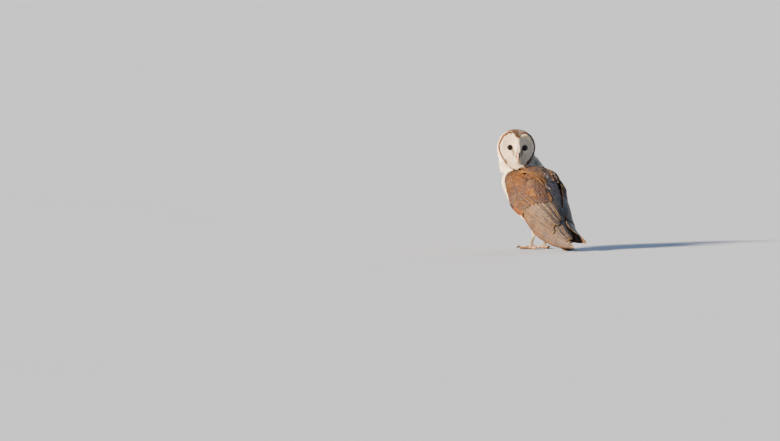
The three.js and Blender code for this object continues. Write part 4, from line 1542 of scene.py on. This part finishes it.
# how far out a claw is, as a share of its length after the first row, then how high and how thick
CLAW = np.array([[-1, 4.6, 2.3], [0.22, 5.9, 2.2], [0.5, 6.2, 1.75], [0.78, 4.6, 1.2], [1.0, 1.0, 0.35]])
CLAW_ROWS, CLAW_AROUND = 18, 16
claw_material = claw_finish()
for side, sign in (("left", 1), ("right", -1)):
    for toe_name, (toe_turn, toe_long, claw_long) in TOES.items():
        toe_turn = math.radians(toe_turn)
        heading = np.array([sign * math.sin(toe_turn), -math.cos(toe_turn), 0])
        root = np.array([sign * LEG_X, FOOT_Y, 0]) + heading * toe_long
        rows = CLAW.copy()
        rows[1:, 0] *= claw_long
        place = np.linspace(0, len(rows) - 1, CLAW_ROWS)
        line, slope = catmull(rows, place)
        ahead = unit(slope[:, :1] * heading + slope[:, 1:2] * [0, 0, 1])
        aside = np.cross([0, 0, 1.0], heading)
        up = np.cross(ahead, aside)
        turn = np.linspace(0, 2 * math.pi, CLAW_AROUND, endpoint=False)
        high = np.where(np.sin(turn) < 0, 0.75, 1.1) * np.sin(turn)
        rings = (
            (root + line[:, :1] * heading + line[:, 1:2] * [0, 0, 1])[:, None]
            + (line[:, 2:] * np.cos(turn) * 0.85)[..., None] * aside
            + (line[:, 2:] * high)[..., None] * up[:, None]
        )
        rings[..., 2] = np.maximum(rings[..., 2], 0.1)
        corners, faces_here = loft(rings)
        make_piece(
            f"talon_{side}_{toe_name}",
            corners,
            faces_here,
            claw_material,
            [f"claw_{side}_{toe_name}"],
            maps={"vane": ring_map(CLAW_ROWS, CLAW_AROUND)},
        )

# %% [markdown]
# ## The floor
#
# The owl stands on a plain pale floor, as in a studio. A small plane would end in view, and a
# curved backdrop would throw light of its own on the owl. A disc that is far wider than the view
# shows neither edge nor horizon. It is told to be a stage, so it isn't part of the model.

# %% Floor
FLOOR_RADIUS, FLOOR_AROUND = 400.0, 96  # metres, and corners round its rim
around = np.linspace(0, 2 * math.pi, FLOOR_AROUND, endpoint=False)
floor_rim = FLOOR_RADIUS * np.stack([np.cos(around), np.sin(around), 0 * around], -1)
floor_mesh = bpy.data.meshes.new("floor")
floor_mesh.from_pydata(floor_rim.tolist(), [], [list(range(FLOOR_AROUND))])
floor = show(floor_mesh)
floor_finish = Recipe("floor_finish", Roughness=0.9, Specular_IOR_Level=0.2)
clouds = floor_finish.noise(floor_finish.place(), 0.8, 2.0)
floor_tone = floor_finish.mix(clouds, paint(0.49, 0.525, 0.585), paint(0.51, 0.545, 0.605))
floor_finish.feed("Base Color", floor_tone)
floor_mesh.materials.append(floor_finish.material)
floor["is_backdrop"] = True
print("floor:", 2 * FLOOR_RADIUS, "m across")

# %% [markdown]
# ## The light
#
# Low warm light comes from the viewer's left and models the face and wing. A soft bluish fill
# opens the shadows on the right, a weak light from behind draws the far edge, and the pale world
# adds the rest. Area lamps near the owl would do as well, but suns light it evenly from any view.

# %% Light
VIEW_FROM = math.radians(138.3)
to_right = np.array([math.cos(VIEW_FROM), math.sin(VIEW_FROM), 0.0])
to_camera = np.array([math.sin(VIEW_FROM), -math.cos(VIEW_FROM), 0.0])
to_sky = np.array([0.0, 0.0, 1.0])
world = bpy.data.worlds.new("studio")
bpy.context.scene.world = world
world.use_nodes = True
backdrop = world.node_tree.nodes["Background"]
backdrop.inputs["Color"].default_value = paint(0.62, 0.77, 1.0)
backdrop.inputs["Strength"].default_value = 0.33


def sun(name, right, near, up, strength, colour, soft):
    """A sun that stands to the viewer's right, near the viewer and up by these shares."""
    light = bpy.data.lights.new(name, "SUN")
    light.energy = strength
    light.color = colour
    light.angle = math.radians(soft)
    lamp = bpy.data.objects.new(name, light)
    bpy.context.scene.collection.objects.link(lamp)
    towards = Vector(right * to_right + near * to_camera + up * to_sky)
    lamp.rotation_mode = "QUATERNION"
    lamp.rotation_quaternion = towards.to_track_quat("Z", "Y")
    print(name, "at", round(math.degrees(math.asin(towards.normalized().z))), "degrees up")


sun("key", -0.88, 0.42, 0.42, 32.0, (1.0, 0.78, 0.53), 9)
sun("fill", 1.0, 0.0, 0.8, 1.3, (0.52, 0.76, 1.0), 50)
sun("far_fill", 0.45, -0.9, 0.55, 1.9, (0.88, 0.94, 1.0), 40)

# %% [markdown]
# ## The camera
#
# A long lens far away sees the owl with nearly parallel lines, so its near foot looks no larger
# than its far one. The owl stands to the right of the picture's middle and a little above it, with
# empty space where it looks. The camera could be aimed by a constraint. Three axes that are worked
# out here say the same, and need nothing to be solved.

# %% Camera
LENS, SENSOR, DISTANCE = 300.0, 36.0, 16250.0
LOOKS_DOWN = math.radians(3)
AIM_RIGHT, AIM_UP = -370.0, 71.25  # from the owl's feet to the picture's middle
SEES_FROM, SEES_TO = 0.1, 1000.0  # metres
camera_data = bpy.data.cameras.new("camera")
camera_data.lens = LENS
camera_data.sensor_width = SENSOR
camera_data.clip_start, camera_data.clip_end = SEES_FROM, SEES_TO
camera = bpy.data.objects.new("camera", camera_data)
bpy.context.scene.collection.objects.link(camera)
backwards = to_camera * math.cos(LOOKS_DOWN) + to_sky * math.sin(LOOKS_DOWN)
upwards = np.cross(backwards, to_right)
looks_at = MOVED + AIM_RIGHT * to_right + AIM_UP * upwards
camera.location = (looks_at + DISTANCE * backwards) * MM
camera.rotation_mode = "QUATERNION"
camera.rotation_quaternion = Matrix(np.stack([to_right, upwards, backwards], 1)).to_quaternion()
bpy.context.scene.camera = camera
print("camera at", [round(c, 2) for c in camera.location], "m")

# %% [markdown]
# ## Sizes, and the end
#
# A coat can easily swell a model past its real size. The box of the whole is printed beside the
# box of the solids, in millimetres, so that the two can be compared.

# %% Sizes, and the end
whole_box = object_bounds()
for axis, low, high, least, most in zip("xyz", *solid_box, *whole_box):
    print(axis, "solids", round(low / MM), round(high / MM), "whole", round(least / MM), round(most / MM))
